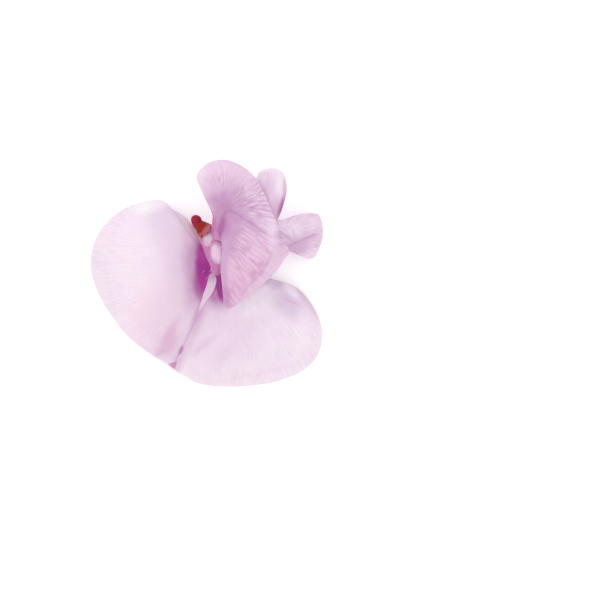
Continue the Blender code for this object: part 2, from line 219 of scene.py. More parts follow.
def banner_relief(middle, where, share):
    """The white rib, soft folds beside the lower crease and a slow wave near the margin."""
    across = np.linalg.norm(middle - middle[:, middle.shape[1] // 2][:, None], axis=-1)
    along = part_way(where, RIDGE_START, RIDGE_END)
    height = RIDGE_HEIGHT * np.sin(np.pi * along ** 0.5) * np.exp(-(across / RIDGE_HALF_WIDTH) ** 2)
    fill = CREASE_FILL * np.exp(-(across / CREASE_HALF_WIDTH) ** 2) * part_way(where, 8, 10)
    turn = np.arctan2(middle[..., 0] - FOLD_CENTRE[0], FOLD_CENTRE[1] - middle[..., 1])
    out = part_way(across, 0.4, 3.4) * part_way(where, 6, 8)
    folds = out * np.sin(turn * FOLDS_PER_RADIAN) * np.exp(-((turn - 0.1) / 0.55) ** 2)
    wave = margin_wave(where, share, *BANNER_WAVE, shift=np.sign(share), start=2)
    return height + fill + FOLD_HEIGHT * folds + wave


middle, where, share = petal_middle(BANNER_RIBS, BANNER_ARCH, rows=180, columns=60)
middle[..., 2] += banner_relief(middle, where, share)
relax(middle, rounds=8)
middle[..., 2] = np.maximum(middle[..., 2], CAD_HALF_WALL)
wall = petal_wall(BANNER_WALL, share)
place = petal_place(middle, share)
middle[..., 2] -= CAD_HALF_WALL - wall / 2
banner = shell_object("banner_petal", middle, wall, place, FACE_UP)


class Flow:
    """A node's output that sums can be written with; each sum adds a maths node."""

    def __init__(self, socket):
        self.socket = socket
        self.tree = socket.id_data

    def __add__(self, other):
        return maths("ADD", self, other)

    def __sub__(self, other):
        return maths("SUBTRACT", self, other)

    def __rsub__(self, other):
        return maths("SUBTRACT", other, self)

    def __mul__(self, other):
        return maths("MULTIPLY", self, other)

    def __truediv__(self, other):
        return maths("DIVIDE", self, other)

    def __neg__(self):
        return self * -1.0

    def __abs__(self):
        return maths("ABSOLUTE", self)

    def other(self, label):
        """Another output of the same node."""
        return Flow(self.socket.node.outputs[label])

    def split(self):
        """The three parts of a vector."""
        first = node(self.tree, "ShaderNodeSeparateXYZ", {0: self})
        return first, first.other("Y"), first.other("Z")


def node(tree, kind, inputs=None, output=0, **settings):
    """Adds a node and gives one of its outputs; an input is a value, or a flow to link."""
    made = tree.nodes.new(kind)
    for key, value in settings.items():
        setattr(made, key, value)
    for key, value in (inputs or {}).items():
        if isinstance(value, Flow):
            tree.links.new(value.socket, made.inputs[key])
        else:
            made.inputs[key].default_value = value
    return Flow(made.outputs[output])


def numeric(value):
    """Whether a value or a flow is a number, and not a vector or a colour."""
    return value.socket.type in ("VALUE", "INT") if isinstance(value, Flow) else np.isscalar(value)


def maths(operation, *values, clamp=False):
    """Adds a maths node, or a vector maths node where a vector is among the values."""
    inputs = dict(enumerate(values))
    tree = next(value.tree for value in values if isinstance(value, Flow))
    if all(numeric(value) for value in values):
        return node(tree, "ShaderNodeMath", inputs, operation=operation, use_clamp=clamp)
    if operation == "MULTIPLY" and numeric(values[1]):
        inputs = {0: values[0], "Scale": values[1]}
        operation = "SCALE"
    output = 1 if operation in ("LENGTH", "DOT_PRODUCT") else 0
    return node(tree, "ShaderNodeVectorMath", inputs, output, operation=operation)


def combined(tree, x=0.0, y=0.0, z=0.0):
    """Vector of three numbers or flows."""
    return node(tree, "ShaderNodeCombineXYZ", {"X": x, "Y": y, "Z": z})


def ramp(value, low, high, least=0.0, most=1.0, growth="SMOOTHSTEP"):
    """Number that grows from least at low to most at high, and stays between the two."""
    return node(value.tree, "ShaderNodeMapRange", {
        "Value": value, "From Min": low, "From Max": high, "To Min": least, "To Max": most},
        interpolation_type=growth)


def noise(place, scale, detail=2.0, output=0):
    return node(place.tree, "ShaderNodeTexNoise", {"Vector": place, "Scale": scale,
                                                   "Detail": detail}, output)


def turned(place, angle):
    return node(place.tree, "ShaderNodeVectorRotate", {"Vector": place, "Angle": angle},
                rotation_type="Z_AXIS")


def curve(value, points):
    """Level read off a curve through (value, level) points, both 0 to 1."""
    level = node(value.tree, "ShaderNodeFloatCurve", {"Value": value})
    mapping = level.socket.node.mapping
    line = mapping.curves[0].points
    for index, point in enumerate(points):
        if index < 2:
            line[index].location = point
        else:
            line.new(*point)
    mapping.update()
    return level


SOCKETS = {float: "Float", int: "Int", tuple: "Vector"}
ORIGIN = (0.0, 0.0, 0.0)


def new_tree(name, kind, inputs, outputs):
    """Node group with named sockets; each holds its first value, or the name of its type."""
    tree = bpy.data.node_groups.new(name, kind)
    for in_out, sockets in (("INPUT", inputs), ("OUTPUT", outputs)):
        for label, value in sockets.items():
            socket_type = "NodeSocket" + SOCKETS.get(type(value), value)
            made = tree.interface.new_socket(label, in_out=in_out, socket_type=socket_type)
            if type(value) in SOCKETS:
                made.default_value = value
    entry = tree.nodes.new("NodeGroupInput")
    given = {label: Flow(entry.outputs[label]) for label in inputs}
    return tree, given, tree.nodes.new("NodeGroupOutput").inputs


def stain_shade_or_light_group():
    """Mask of one soft oval, for a stain or for painted shade or light, placed in millimetres, with
    an edge that wanders.
    """
    tree, given, result = new_tree("petal_stain_shade_or_light", "ShaderNodeTree", {
        "Position": ORIGIN, "Centre": ORIGIN, "Half Size": (1.0, 1.0, 1000.0), "Turn": 0.0,
        "Edge": 0.5, "Wander": 0.2}, {"Mask": "Float"})
    away = turned(given["Position"] - given["Centre"], -given["Turn"])
    reach = maths("LENGTH", away / given["Half Size"])
    moved = (noise(given["Position"], 0.55, 3.0) - 0.5) * given["Wander"] + reach
    mask = ramp(moved, given["Edge"] + 1.0, 1.0 - given["Edge"])
    tree.links.new(mask.socket, result["Mask"])
    return tree


def petal_vein_group():
    """Mask of a net of veins that fans out from one point, its meshes long ways outwards."""
    tree, given, result = new_tree("petal_veins", "ShaderNodeTree", {
        "Position": ORIGIN, "Centre": ORIGIN, "Turn": 0.0, "Meshes": 6.0, "Mesh Length": 3.0,
        "Wander": 0.3, "Width": 0.1, "Twist": 0.0}, {"Mask": "Float"})
    x, y, _ = turned(given["Position"] - given["Centre"], given["Turn"]).split()
    flat = combined(tree, x, y)
    reach = maths("LENGTH", flat)
    swept = reach * given["Twist"] + maths("ARCTAN2", y, x)
    bend = (noise(flat, 0.5) - 0.5) * given["Wander"]
    fan = combined(tree, swept * given["Meshes"] + bend, reach / given["Mesh Length"])
    from_edge = node(tree, "ShaderNodeTexVoronoi", {"Vector": fan, "Scale": 1.0, "Randomness": 0.9},
                     voronoi_dimensions="2D", feature="DISTANCE_TO_EDGE")
    strength = ramp(noise(flat, 0.45), 0.38, 0.62, 0.35, 1.15, "LINEAR")
    mask = ramp(from_edge, given["Width"], 0.0) * ramp(reach, 0.5, 2.8) * strength
    tree.links.new(mask.socket, result["Mask"])
    return tree


def petal_skin_group():
    """Height of a petal's fine skin: tiny cells over soft unevenness."""
    tree, given, result = new_tree("petal_skin", "ShaderNodeTree", {
        "Position": ORIGIN, "Cells": 9.0, "Softness": 0.8}, {"Height": "Float"})
    cells = node(tree, "ShaderNodeTexVoronoi", {"Vector": given["Position"],
                                                "Scale": given["Cells"]})
    height = cells * 0.12 + noise(given["Position"], given["Softness"], 4.0)
    tree.links.new(height.socket, result["Height"])
    return tree


STAIN_SHADE_OR_LIGHT = stain_shade_or_light_group()
VEINS = petal_vein_group()
SKIN = petal_skin_group()
LIGHT_LEVEL = 1.04                  # how bright a white surface is under the scene's light


def tint(red, green, blue):
    """Linear colour that looks like the given screen tint, 0 to 255, under the scene's light."""
    levels = [((level / 255 + 0.055) / 1.055) ** 2.4 for level in (red, green, blue)]
    return (*(level / LIGHT_LEVEL for level in levels), 1.0)


def set_inputs(shader, values):
    for label, value in values.items():
        shader[label].default_value = value


class Petal:
    """A petal's material while its colours, all screen tints, are laid one over another."""

    def __init__(self, name, colour, roughness, glow):
        self.material = bpy.data.materials.new(name)
        self.material.use_nodes = True
        self.tree = self.material.node_tree
        self.shader = self.tree.nodes["Principled BSDF"].inputs
        set_inputs(self.shader, {
            "Roughness": roughness, "Specular IOR Level": 0.3, "Subsurface Weight": glow,
            "Subsurface Radius": (1.0, 0.6, 0.85), "Subsurface Scale": 0.4 * MM,
            "Sheen Weight": 0.12, "Sheen Roughness": 0.5})
        self.position = node(self.tree, "ShaderNodeTexCoord", output="Object") * (1 / MM)
        self.x, self.y, self.z = self.position.split()
        grown = node(self.tree, "ShaderNodeAttribute", output="Vector",
                     attribute_name="petal_place")
        self.along, self.across, _ = grown.split()
        self.colour = tint(*colour)
        self.height = None

    def lay(self, mask, colour, amount=1.0):
        """Lays a colour over what is there, where the mask is."""
        strength = maths("MULTIPLY", mask, amount, clamp=True)
        self.colour = node(self.tree, "ShaderNodeMix", {
            0: strength, 6: self.colour, 7: tint(*colour)}, 2, data_type="RGBA")
        return mask

    def stain_shade_or_light(self, x, y, half_x, half_y, turn, edge, colour, amount, wander=0.3, z=0.0,
              half_z=1000.0):
        """Lays a soft oval; without z and half_z it goes through the whole height."""
        mask = node(self.tree, "ShaderNodeGroup", {
            "Position": self.position, "Centre": (x, y, z), "Half Size": (half_x, half_y, half_z),
            "Turn": math.radians(turn), "Edge": edge, "Wander": wander}, node_tree=STAIN_SHADE_OR_LIGHT)
        return self.lay(mask, colour, amount)

    def stains_shades_or_lights(self, rows):
        """Lays one soft oval for each row, a stain or painted shade or light; the numbers in a row
        are those that one oval takes.
        """
        for row in rows:
            self.stain_shade_or_light(*row)

    def veins(self, x, y, turn, meshes, length, width, wander=0.6, twist=0.0):
        """Mask of a net of veins; meshes counts them round one radian, twist bends them."""
        return node(self.tree, "ShaderNodeGroup", {
            "Position": self.position, "Centre": (x, y, 0.0), "Turn": math.radians(turn),
            "Meshes": meshes, "Mesh Length": length, "Width": width, "Wander": wander,
            "Twist": twist}, node_tree=VEINS)

    def rings(self, x, y, pace, end):
        """Mask of soft rings round a point, out to the end radius."""
        reach = maths("LENGTH", (self.position - (x, y, 0.0)) * (1, 1, 0))
        return (ramp(maths("SINE", reach * pace), 0.5, 1.0) * ramp(reach, 1.2, 2.0)
                * ramp(reach, end, end - 0.5))

    def raise_by(self, mask, amount):
        """Adds a mask to the relief that the bump draws."""
        part = mask * amount
        self.height = part if self.height is None else self.height + part

    def finish(self, depth):
        """Adds the skin and joins colour and relief to the shader."""
        skin = node(self.tree, "ShaderNodeGroup", {"Position": self.position}, node_tree=SKIN)
        self.raise_by(skin, 0.25)
        bump = node(self.tree, "ShaderNodeBump", {"Height": self.height, "Strength": 1.0,
                                                  "Distance": depth * MM})
        self.tree.links.new(bump.socket, self.shader["Normal"])
        self.tree.links.new(self.colour.socket, self.shader["Base Color"])
        return self.material


BANNER_LENGTH = 24.0                # along its midline, for the curves of the white rib


def banner_material():
    """Pale pink, first the soft tints of its lobes with painted shade and light, then its throat,
    rib, crease and notch.
    """
    petal = Petal("banner_petal_skin", (241, 226, 238), roughness=0.5, glow=0.25)
    petal.stains_shades_or_lights([
        # These two are painted shade where the left lobe turns away from the light: its upper
        # corner and its slope into the throat.
        (-5.2, 8.4, 3.2, 3.6, -38, 0.7, (221, 203, 224), 0.85),
        (-4.2, 3.6, 2.6, 6.0, 12, 0.8, (234, 216, 233), 0.6),
        (-7.4, -5.5, 3.6, 4.6, -30, 0.8, (243, 216, 229), 0.75),
        # These three are painted light and shade of the left lobe: lighter at its middle and upper
        # left rim, darker towards its bottom.
        (-11.4, 2.0, 3.0, 5.0, 10, 0.8, (243, 228, 239), 0.7),
        (-8.7, 10.2, 2.4, 1.0, 12, 0.8, (250, 246, 250), 0.7),
        (-5.6, -8.8, 4.4, 5.2, -25, 0.8, (231, 207, 225), 0.7),
        (3.0, -8.0, 4.6, 6.0, -20, 0.8, (230, 208, 226), 0.75),
        (8.5, -5.0, 4.6, 2.6, -30, 0.8, (238, 223, 237), 0.6),
        (2.5, -9.3, 2.6, 1.6, 20, 0.9, (240, 218, 236), 0.5),
        # These four are painted shade and light of the right lobe: shade where its upper margin
        # turns down and along the left wing's edge, light on the ridge between, and shade along its
        # upper right margin.
        (12.8, -4.4, 4.2, 1.9, -32, 0.6, (216, 195, 220), 0.85),
        (9.9, -1.3, 1.9, 0.75, -18, 0.5, (208, 184, 208), 0.85),
        (13.2, -2.8, 1.5, 0.6, -33, 0.8, (244, 231, 244), 0.75),
        (15.35, -4.0, 2.9, 0.65, -56, 0.7, (202, 178, 202), 0.85),
        (13.0, -4.2, 1.7, 0.12, -25, 0.8, (216, 168, 203), 0.7, 0.8),
        # These four are painted light: on the right lobe's lower half, twice where the left wing's
        # shadow falls, and a highlight along the lower rim.
        (14.6, -8.8, 1.5, 4.6, -8, 0.7, (245, 233, 243), 0.6),
        (7.2, -4.2, 3.4, 1.4, 25, 0.8, (250, 240, 250), 0.7),
        (7.4, -3.1, 2.6, 0.7, 36, 0.8, (255, 246, 255), 0.75),
        (3.5, -15.6, 7.0, 1.5, 3, 0.8, (246, 229, 240), 0.6),
        # These three are painted shade of soft folds in the lower banner.
        (-0.2, -10.7, 0.5, 2.3, -52, 0.9, (222, 200, 222), 0.6, 0.8),
        (2.6, -12.6, 0.7, 3.2, -38, 0.9, (228, 207, 226), 0.4, 0.8),
        (7.2, -8.0, 0.8, 3.0, -62, 0.9, (232, 212, 229), 0.45, 0.8),
        (-3.2, 7.7, 1.1, 0.5, -35, 0.6, (216, 203, 200), 0.8),
    ])
    fan = petal.veins(0.9, 3.5, 90, 30, 5.0, 0.34, 1.2, 0.01)
    petal.lay(fan, (222, 194, 218), 0.22)
    petal.raise_by(fan, -0.05)
    near = abs(petal.across)
    # The rosy surround of the throat, with painted shade beside the rib's end and painted light
    # where the calyx's shadow falls, then painted shade along the crease below it.
    petal.stains_shades_or_lights([
        (-1.6, 1.4, 4.2, 6.4, 8, 0.75, (229, 203, 224), 0.8),
        (-0.9, 0.9, 2.2, 5.3, 5, 0.5, (207, 163, 202), 0.85),
        # Painted shade beside the rib's end; the next is painted light where the calyx's shadow
        # falls.
        (1.7, -3.1, 1.6, 1.9, 10, 0.7, (200, 150, 195), 0.9),
        (-2.0, 5.6, 0.9, 1.1, 0, 0.7, (245, 208, 242), 0.8),
        (-1.75, 6.95, 0.5, 0.9, 25, 0.9, (186, 112, 140), 0.6),
    ])
    # Painted shade along the crease below the throat.
    below = ramp(petal.y, -1.5, -3.0) * ramp(petal.y, -8.5, -6.0)
    petal.lay(ramp(near, 0.9, 0.2) * below, (205, 160, 199), 0.75)
    # The dark magenta of the throat, on both sides of the rib, with painted shade below the rib's
    # edge, painted light where the column's shadow falls, and three small painted highlights in it.
    petal.stains_shades_or_lights([
        (-2.1, -3.3, 1.0, 2.0, 0, 0.9, (208, 166, 202), 0.5),
        (-0.8, -1.6, 1.0, 2.2, 4, 0.55, (176, 88, 158), 0.85),
        # Painted shade below the rib's edge.
        (1.3, -3.6, 0.6, 0.6, 0, 0.8, (180, 112, 166), 0.45),
        (0.15, 0.8, 1.75, 4.0, 4, 0.22, (186, 88, 170), 1.0),
        (0.32, 0.7, 1.60, 3.80, 2, 0.14, (180, 60, 160), 1.0),
        # Painted light where the column's shadow falls.
        (-0.2, 3.4, 0.9, 1.7, 10, 0.6, (210, 90, 188), 0.8),
        (2.38, -1.95, 0.84, 2.25, 6, 0.34, (163, 54, 145), 1.0),
        # These three are small painted highlights.
        (-0.35, 0.4, 0.28, 0.06, 40, 0.5, (212, 140, 196), 0.9, 0.1),
        (0.15, -0.6, 0.32, 0.06, 52, 0.5, (212, 140, 196), 0.9, 0.1),
        (0.62, 0.35, 0.25, 0.06, -50, 0.5, (212, 140, 196), 0.9, 0.1),
        (0.0, 0.06, 0.09, 0.09, 0, 0.4, (150, 30, 70), 1.0, 0.0),
    ])
    # The white rib along the midline, painted shade on its upper end, and the painted shade of the
    # crease that goes on from it.
    inside = petal.along / BANNER_LENGTH
    width = curve(inside, [
        (0, 0), (0.31, 0), (0.335, 0.42), (0.385, 0.74), (0.44, 0.72), (0.49, 0.46),
        (0.54, 0.28), (0.60, 0.06), (0.63, 0), (1, 0)])
    centred = petal.across - curve(inside, [
        (0, 0), (0.31, 0.05), (0.335, 0.12), (0.40, 0.24), (0.50, 0.12), (0.62, 0), (1, 0)])
    rib = ramp(width - abs(centred), -0.06, 0.10)
    petal.lay(rib, (236, 213, 232), 1.0)
    # Painted shade on the rib's upper end.
    petal.lay(rib * ramp(petal.y, -1.6, -0.2), (212, 172, 205), 0.8)
    # Painted shade of the crease below the rib, narrow on the midline and broader to its right.
    lower = curve(inside, [
        (0, 0), (0.52, 0), (0.62, 0.9), (0.80, 0.55), (0.97, 0.65), (1, 0.65)])
    petal.lay(ramp(near, 0.28, 0.0) * lower, (205, 162, 200), 0.9)
    petal.lay(ramp(abs(petal.across - 0.45), 1.4, 0.1) * lower, (209, 168, 204), 0.65)
    # The notch at the tip: painted shade of its folds, its pleats, painted shade in its slit, and
    # its small flap.
    petal.stains_shades_or_lights([
        (-5.6, -9.2, 0.55, 2.6, -28, 0.95, (222, 178, 208), 0.6, 1.0),
        (-6.3, -11.0, 1.5, 1.5, -30, 0.8, (222, 186, 211), 0.4, 0.9),
        (-5.2, -10.2, 1.2, 1.8, -28, 0.9, (218, 170, 203), 0.5, 0.8),
        (-6.9, -11.9, 1.1, 0.22, 22, 0.8, (208, 172, 204), 0.6),
    ])
    pleats = (petal.veins(-4.3, -15.2, 80, 7.0, 2.6, 0.35, 0.8) * ramp(petal.y, -9.5, -12.5)
              * ramp(petal.x, -2.8, -4.6))
    petal.lay(pleats, (212, 174, 205), 0.4)
    petal.raise_by(pleats, -0.4)
    # Painted shade in the notch's slit.
    petal.stain_shade_or_light(-3.75, -11.45, 0.26, 0.7, -25, 0.7, (182, 122, 172), 0.85)
    flap = (ramp(petal.x * 0.298 - petal.y * 0.954 - 11.20, -0.06, 0.10)
            * ramp(petal.y * 0.298 - petal.x * 0.954 - 0.216, -0.10, 0.08))
    petal.lay(flap, (205, 144, 184), 1.0)
    return petal.finish(depth=0.12)


def dress(piece, material, nodes):
    """Gives a piece its material and joins it to the frame in place of its CAD nodes."""
    piece.data.materials.clear()
    piece.data.materials.append(material)
    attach(piece, "root")
    if nodes:
        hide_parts(*nodes)


dress(banner, banner_material(), ["banner"])

# Right wing: the far one of two matching petals beside the keel, a narrow claw that widens
# to a soft lobe with a fold along its middle. It lies on the banner and its tip shows at
# the right; its claw grows from the side of the calyx.
RIGHT_WING_RIBS = [
    ((0.00, 7.00, 4.15), (0.40, 7.50, 4.15), (-0.40, 6.50, 4.15), 0, 0),
    ((0.65, 6.55, 4.15), (1.05, 7.05, 4.15), (0.25, 6.05, 4.15), 0, 0),
    ((1.70, 5.70, 3.75), (2.15, 6.65, 3.75), (1.25, 4.80, 3.70), 0, 0),
    ((3.65, 5.00, 3.10), (4.25, 7.95, 3.10), (3.15, 2.70, 3.10), 0.1, 0.1),
    ((6.10, 4.95, 2.90), (6.50, 9.60, 2.80), (5.75, 0.95, 2.80), 0.2, 0.2),
    ((8.45, 5.15, 2.80), (8.45, 9.90, 2.70), (8.55, 0.90, 2.60), 0.2, 0.2),
    ((10.40, 5.35, 2.80), (10.20, 8.45, 2.90), (10.80, 2.20, 2.80), 0.2, 0.2),
    ((12.05, 5.50, 2.50), (11.60, 8.15, 3.10), (12.55, 3.35, 2.80), 0.2, 0.2),
    ((13.70, 5.50, 1.80), (13.55, 8.85, 2.60), (14.05, 2.90, 2.20), 0.2, 0.2),
    ((15.40, 5.60, 0.60), (15.65, 9.15, 1.60), (15.40, 2.40, 1.20), 0.2, 0.2),
    ((16.65, 5.85, -0.20), (17.00, 8.90, 1.00), (16.50, 2.80, 0.70), 0, 0),
    ((17.30, 6.00, -0.20), (17.50, 7.65, 0.30), (17.20, 4.25, 0.20), 0, 0),
    ((17.60, 6.05, 0.00), (17.60, 6.60, 0.00), (17.50, 5.40, 0.00), 0, 0),
]
WING_ARCH = (1.05, 12, 0.16)
WING_WALL = (0.36, 0.15)            # at the midline, at the margin
RIGHT_WING_WAVE = (0.08, 3.3)       # height of its margin's slow wave, and its turn per rib

middle, where, share = petal_middle(RIGHT_WING_RIBS, WING_ARCH, rows=120, columns=34)
middle[..., 2] += margin_wave(where, share, *RIGHT_WING_WAVE, shift=0, start=3)
middle[..., 2] = np.maximum(middle[..., 2], CAD_HALF_WALL)
wall = petal_wall(WING_WALL, share)
place = petal_place(middle, share)
middle[..., 2] -= CAD_HALF_WALL - wall / 2
wing_right = shell_object("wing_right_petal", middle, wall, place, FACE_UP)

NECK_RINGS = (10.5, 4.9, 9.0, 2.9)  # middle of the soft arcs, how close they stand, their end


def wing_right_material():
    """Lilac pink with darker veins, soft arcs at its neck and a fold along its middle, with painted
    shade along and below the fold and painted light where the left wing's shadow falls.
    """
    petal = Petal("wing_right_skin", (236, 213, 231), roughness=0.5, glow=0.25)
    petal.stains_shades_or_lights([
        (12.2, 5.6, 1.6, 2.6, 20, 0.7, (225, 197, 220), 0.7),
        # Painted shade below the fold.
        (15.1, 4.3, 2.6, 0.95, 24, 0.7, (212, 176, 208), 0.85),
        (16.6, 5.2, 1.2, 2.8, 0, 0.7, (241, 219, 235), 0.8),
        # Painted light where the left wing's shadow falls on the neck.
        (12.0, 7.0, 1.9, 1.5, -20, 0.8, (253, 240, 252), 0.9),
    ])
    veins = petal.veins(10.9, 5.0, 180, 9.0, 3.6, 0.3, 0.8, 0.05)
    petal.lay(veins, (205, 166, 202), 0.32)
    petal.raise_by(veins, -0.25)
    neck = petal.rings(*NECK_RINGS) * ramp(petal.x, 10.8, 11.6)
    petal.lay(neck, (207, 166, 203), 0.3)
    petal.stains_shades_or_lights([
        (12.0, 5.8, 1.1, 0.22, -34, 0.9, (190, 140, 188), 0.5, 0.6),
        (13.2, 6.15, 0.18, 0.8, 18, 0.9, (204, 160, 202), 0.4, 0.6),
        # Painted shade across the fold.
        (14.6, 5.2, 2.0, 0.7, 24, 0.9, (208, 168, 204), 0.5),
    ])
    # Painted shade along the fold, whose mask also sinks the bump.
    crease = petal.stain_shade_or_light(14.4, 5.1, 2.4, 0.2, 24, 0.9, (199, 157, 197), 0.6, 0.1)
    petal.raise_by(crease, -0.25)
    return petal.finish(depth=0.12)


dress(wing_right, wing_right_material(), ["wing_right"])

# Left wing: the near wing petal, turned over the keel so that its veined face shows. A
# crease runs from where it bends out of its claw to its far corner, and its lower rim is
# folded under. It grows from the calyx's other side.
LEFT_WING_RIBS = [
    ((0.00, 6.85, 6.45), (0.15, 7.10, 6.40), (-0.20, 6.65, 6.40), 0, 0),
    ((0.65, 6.50, 6.60), (0.80, 6.90, 6.50), (0.45, 6.00, 6.55), 0, 0),
    ((1.75, 6.75, 7.30), (1.15, 7.90, 7.40), (1.30, 5.20, 7.35), 0, 0),
    ((2.30, 7.90, 7.80), (0.95, 9.45, 7.90), (2.50, 4.70, 7.78), 0.2, 0.2),
    ((3.45, 9.40, 7.80), (-0.60, 12.75, 8.60), (2.55, 2.70, 8.25), 0.5, 0.6),
    ((4.90, 8.90, 8.20), (-1.10, 14.70, 8.70), (2.45, 0.75, 8.80), 0.8, 1.1),
    ((6.40, 7.95, 8.50), (0.65, 16.50, 8.60), (2.60, -1.65, 7.80), 1.0, 1.4),
    ((7.70, 7.00, 8.60), (3.65, 16.80, 8.50), (3.25, -5.10, 5.80), 1.0, 1.5),
    ((9.00, 6.00, 8.60), (6.75, 15.05, 8.15), (6.15, -3.30, 6.00), 0.8, 1.3),
    ((10.20, 5.20, 8.50), (8.70, 12.20, 8.00), (8.55, -1.50, 6.20), 0.5, 0.9),
    ((11.25, 4.50, 8.20), (10.00, 9.10, 8.00), (10.65, 0.55, 6.40), 0.3, 0.5),
    ((12.05, 3.80, 7.70), (11.25, 5.95, 8.00), (11.90, 2.35, 6.80), 0.1, 0.1),
    ((12.45, 3.30, 7.30), (12.15, 4.10, 7.50), (12.40, 2.90, 7.10), 0, 0),
]
LEFT_WING_WAVE = (0.10, 2.9)
WING_CREASE_WIDTH = 0.8
WING_CREASE_DEPTH = 0.16

middle, where, share = petal_middle(LEFT_WING_RIBS, WING_ARCH, rows=150, columns=48)
middle[..., 2] += margin_wave(where, share, *LEFT_WING_WAVE, shift=1, start=3)
wall = petal_wall(WING_WALL, share)
place = petal_place(middle, share)
crease = np.exp(-(place[..., 1] / WING_CREASE_WIDTH) ** 2)
middle[..., 2] -= WING_CREASE_DEPTH * crease * part_way(where, 3.5, 5.5) * part_way(where, 11, 8)
relax(middle, rounds=60)
wing_left = shell_object("wing_left_petal", middle, wall, place, FACE_UP)

RIM_CURVE_FROM = -4.0               # the folded lower rim, read off a curve: from this y,
RIM_CURVE_LENGTH = 10.0             # over this length, in shares of this x
RIM_CURVE_REACH = 12.0


def wing_left_material():
    """Lilac pink with nets of darker veins, a crease, and a paler fold on its rim, with painted
    shade round its node, in the crease and beside its claw.
    """
    petal = Petal("wing_left_skin", (224, 193, 218), roughness=0.5, glow=0.25)
    petal.stains_shades_or_lights([
        (9.4, 8.6, 2.6, 3.4, 25, 0.7, (230, 204, 225), 0.7),
        (6.0, 1.8, 3.6, 4.8, -25, 0.7, (234, 198, 222), 0.9),
        (6.6, -0.2, 2.6, 2.2, -40, 0.8, (229, 185, 213), 0.6),
        (4.8, -2.6, 1.9, 2.2, -30, 0.8, (228, 184, 212), 0.7),
        (3.1, 11.2, 2.6, 4.4, -6, 0.85, (211, 172, 206), 0.78),
        # Painted shade round the node, where the blade bends out of its claw.
        (3.6, 9.5, 2.1, 1.9, -25, 0.9, (196, 144, 189), 0.85),
        # Painted shade along the crease.
        (6.0, 7.8, 2.6, 0.8, -32, 0.8, (206, 164, 202), 0.7),
        # Painted shade where the margin rolls under beside the claw.
        (3.7, 5.2, 1.3, 2.9, -8, 0.75, (203, 157, 197), 0.85),
        (6.8, 10.4, 2.3, 1.9, -40, 0.8, (240, 214, 234), 0.55),
        (8.5, 11.7, 1.9, 1.3, -50, 0.9, (240, 218, 235), 0.6),
        (2.4, 14.6, 1.3, 2.0, 10, 0.8, (238, 214, 233), 0.5),
        (2.6, 8.2, 1.2, 2.3, -10, 0.7, (199, 150, 192), 0.75),
    ])
    blade = ramp(petal.along, 2.6, 5.0)
    upper = ramp(petal.across, 0.6, -0.6) * blade
    lower = ramp(petal.across, -0.6, 0.6) * blade
    bold = petal.veins(3.1, 9.3, -55, 8.0, 4.2, 0.28, 1.4, 0.03) * ramp(petal.x, 1.5, 5.5) * upper
    fan = petal.veins(2.9, 8.8, -55, 17.0, 2.8, 0.34, 1.4, 0.02) * upper
    slant = petal.veins(-6.5, 14.5, 0, 26.0, 3.4, 0.34, 1.4) * lower
    for veins, amount in ((bold, 0.8), (fan, 0.55), (slant, 0.46)):
        petal.lay(veins, (190, 138, 188), amount)
        petal.raise_by(veins, -0.3 * amount)
    petal.stains_shades_or_lights([
        (3.0, 16.0, 5.6, 1.7, -12, 0.8, (237, 215, 232), 0.6),
        (-0.9, 15.2, 1.3, 2.6, 16, 0.9, (242, 224, 237), 0.75),
        (6.5, 13.6, 3.0, 2.4, -45, 0.8, (230, 203, 224), 0.45),
    ])
    # The painted shade of the crease along the midline, broad and then narrow.
    beside = abs(petal.across)
    onward = ramp(petal.along, 3.0, 4.5)
    broad = ramp(beside, 0.9, 0.0) * ramp(petal.along, 12.0, 7.0) * onward
    petal.lay(broad, (196, 146, 190), 0.4)
    line = ramp(beside, 0.2, 0.0) * ramp(petal.along, 14.5, 10.5) * onward
    petal.lay(line, (172, 112, 170), 0.55)
    # The shade along its left margin, and its claw.
    petal.stains_shades_or_lights([
        (2.85, 1.0, 0.55, 6.4, 3, 0.8, (204, 160, 199), 0.8),
        (3.2, -3.4, 0.6, 1.7, 8, 0.7, (194, 142, 184), 0.7),
        (1.1, 6.9, 0.75, 2.0, 0, 0.5, (199, 112, 172), 0.85),
        (3.1, 6.5, 0.7, 1.3, -15, 0.8, (186, 132, 179), 0.6),
        (2.35, 6.6, 0.55, 2.0, -16, 0.6, (168, 96, 155), 0.85),
        (1.75, 5.6, 0.32, 0.85, 12, 0.6, (208, 142, 186), 0.85),
    ])
    # The rim that is folded under, paler, with painted shade along its fold line and arcs like
    # those of the right wing's neck on it.
    folded_from = curve((petal.y - RIM_CURVE_FROM) / RIM_CURVE_LENGTH, [
        (0, 0.43), (0.085, 0.471), (0.203, 0.533), (0.289, 0.604), (0.396, 0.70),
        (0.514, 0.757), (0.664, 0.819), (0.824, 0.872), (1, 0.91)]) * RIM_CURVE_REACH
    beyond = petal.x - folded_from
    onward = ramp(petal.y, 5.5, 2.0) * ramp(petal.y, -4.2, -2.6)
    petal.lay(ramp(beyond, -0.1, 0.4) * onward, (231, 201, 223), 0.5)
    petal.raise_by(ramp(beyond, -0.1, 0.3) * onward, -0.35)
    # Painted shade along the fold line.
    petal.lay(ramp(abs(beyond), 0.35, 0.0) * onward, (200, 152, 194), 0.3)
    neck = petal.rings(*NECK_RINGS) * ramp(beyond, 0.1, 0.6)
    petal.lay(neck, (203, 160, 199), 0.28)
    petal.stains_shades_or_lights([
        (10.15, 6.3, 0.7, 2.4, 4, 1.0, (246, 228, 243), 0.6),
        (9.0, 7.6, 1.4, 1.0, -35, 0.8, (236, 212, 231), 0.6),
        (11.35, 6.15, 0.7, 0.15, -12, 0.9, (190, 140, 188), 0.4, 0.5),
    ])
    return petal.finish(depth=0.12)


dress(wing_left, wing_left_material(), ["wing_left"])

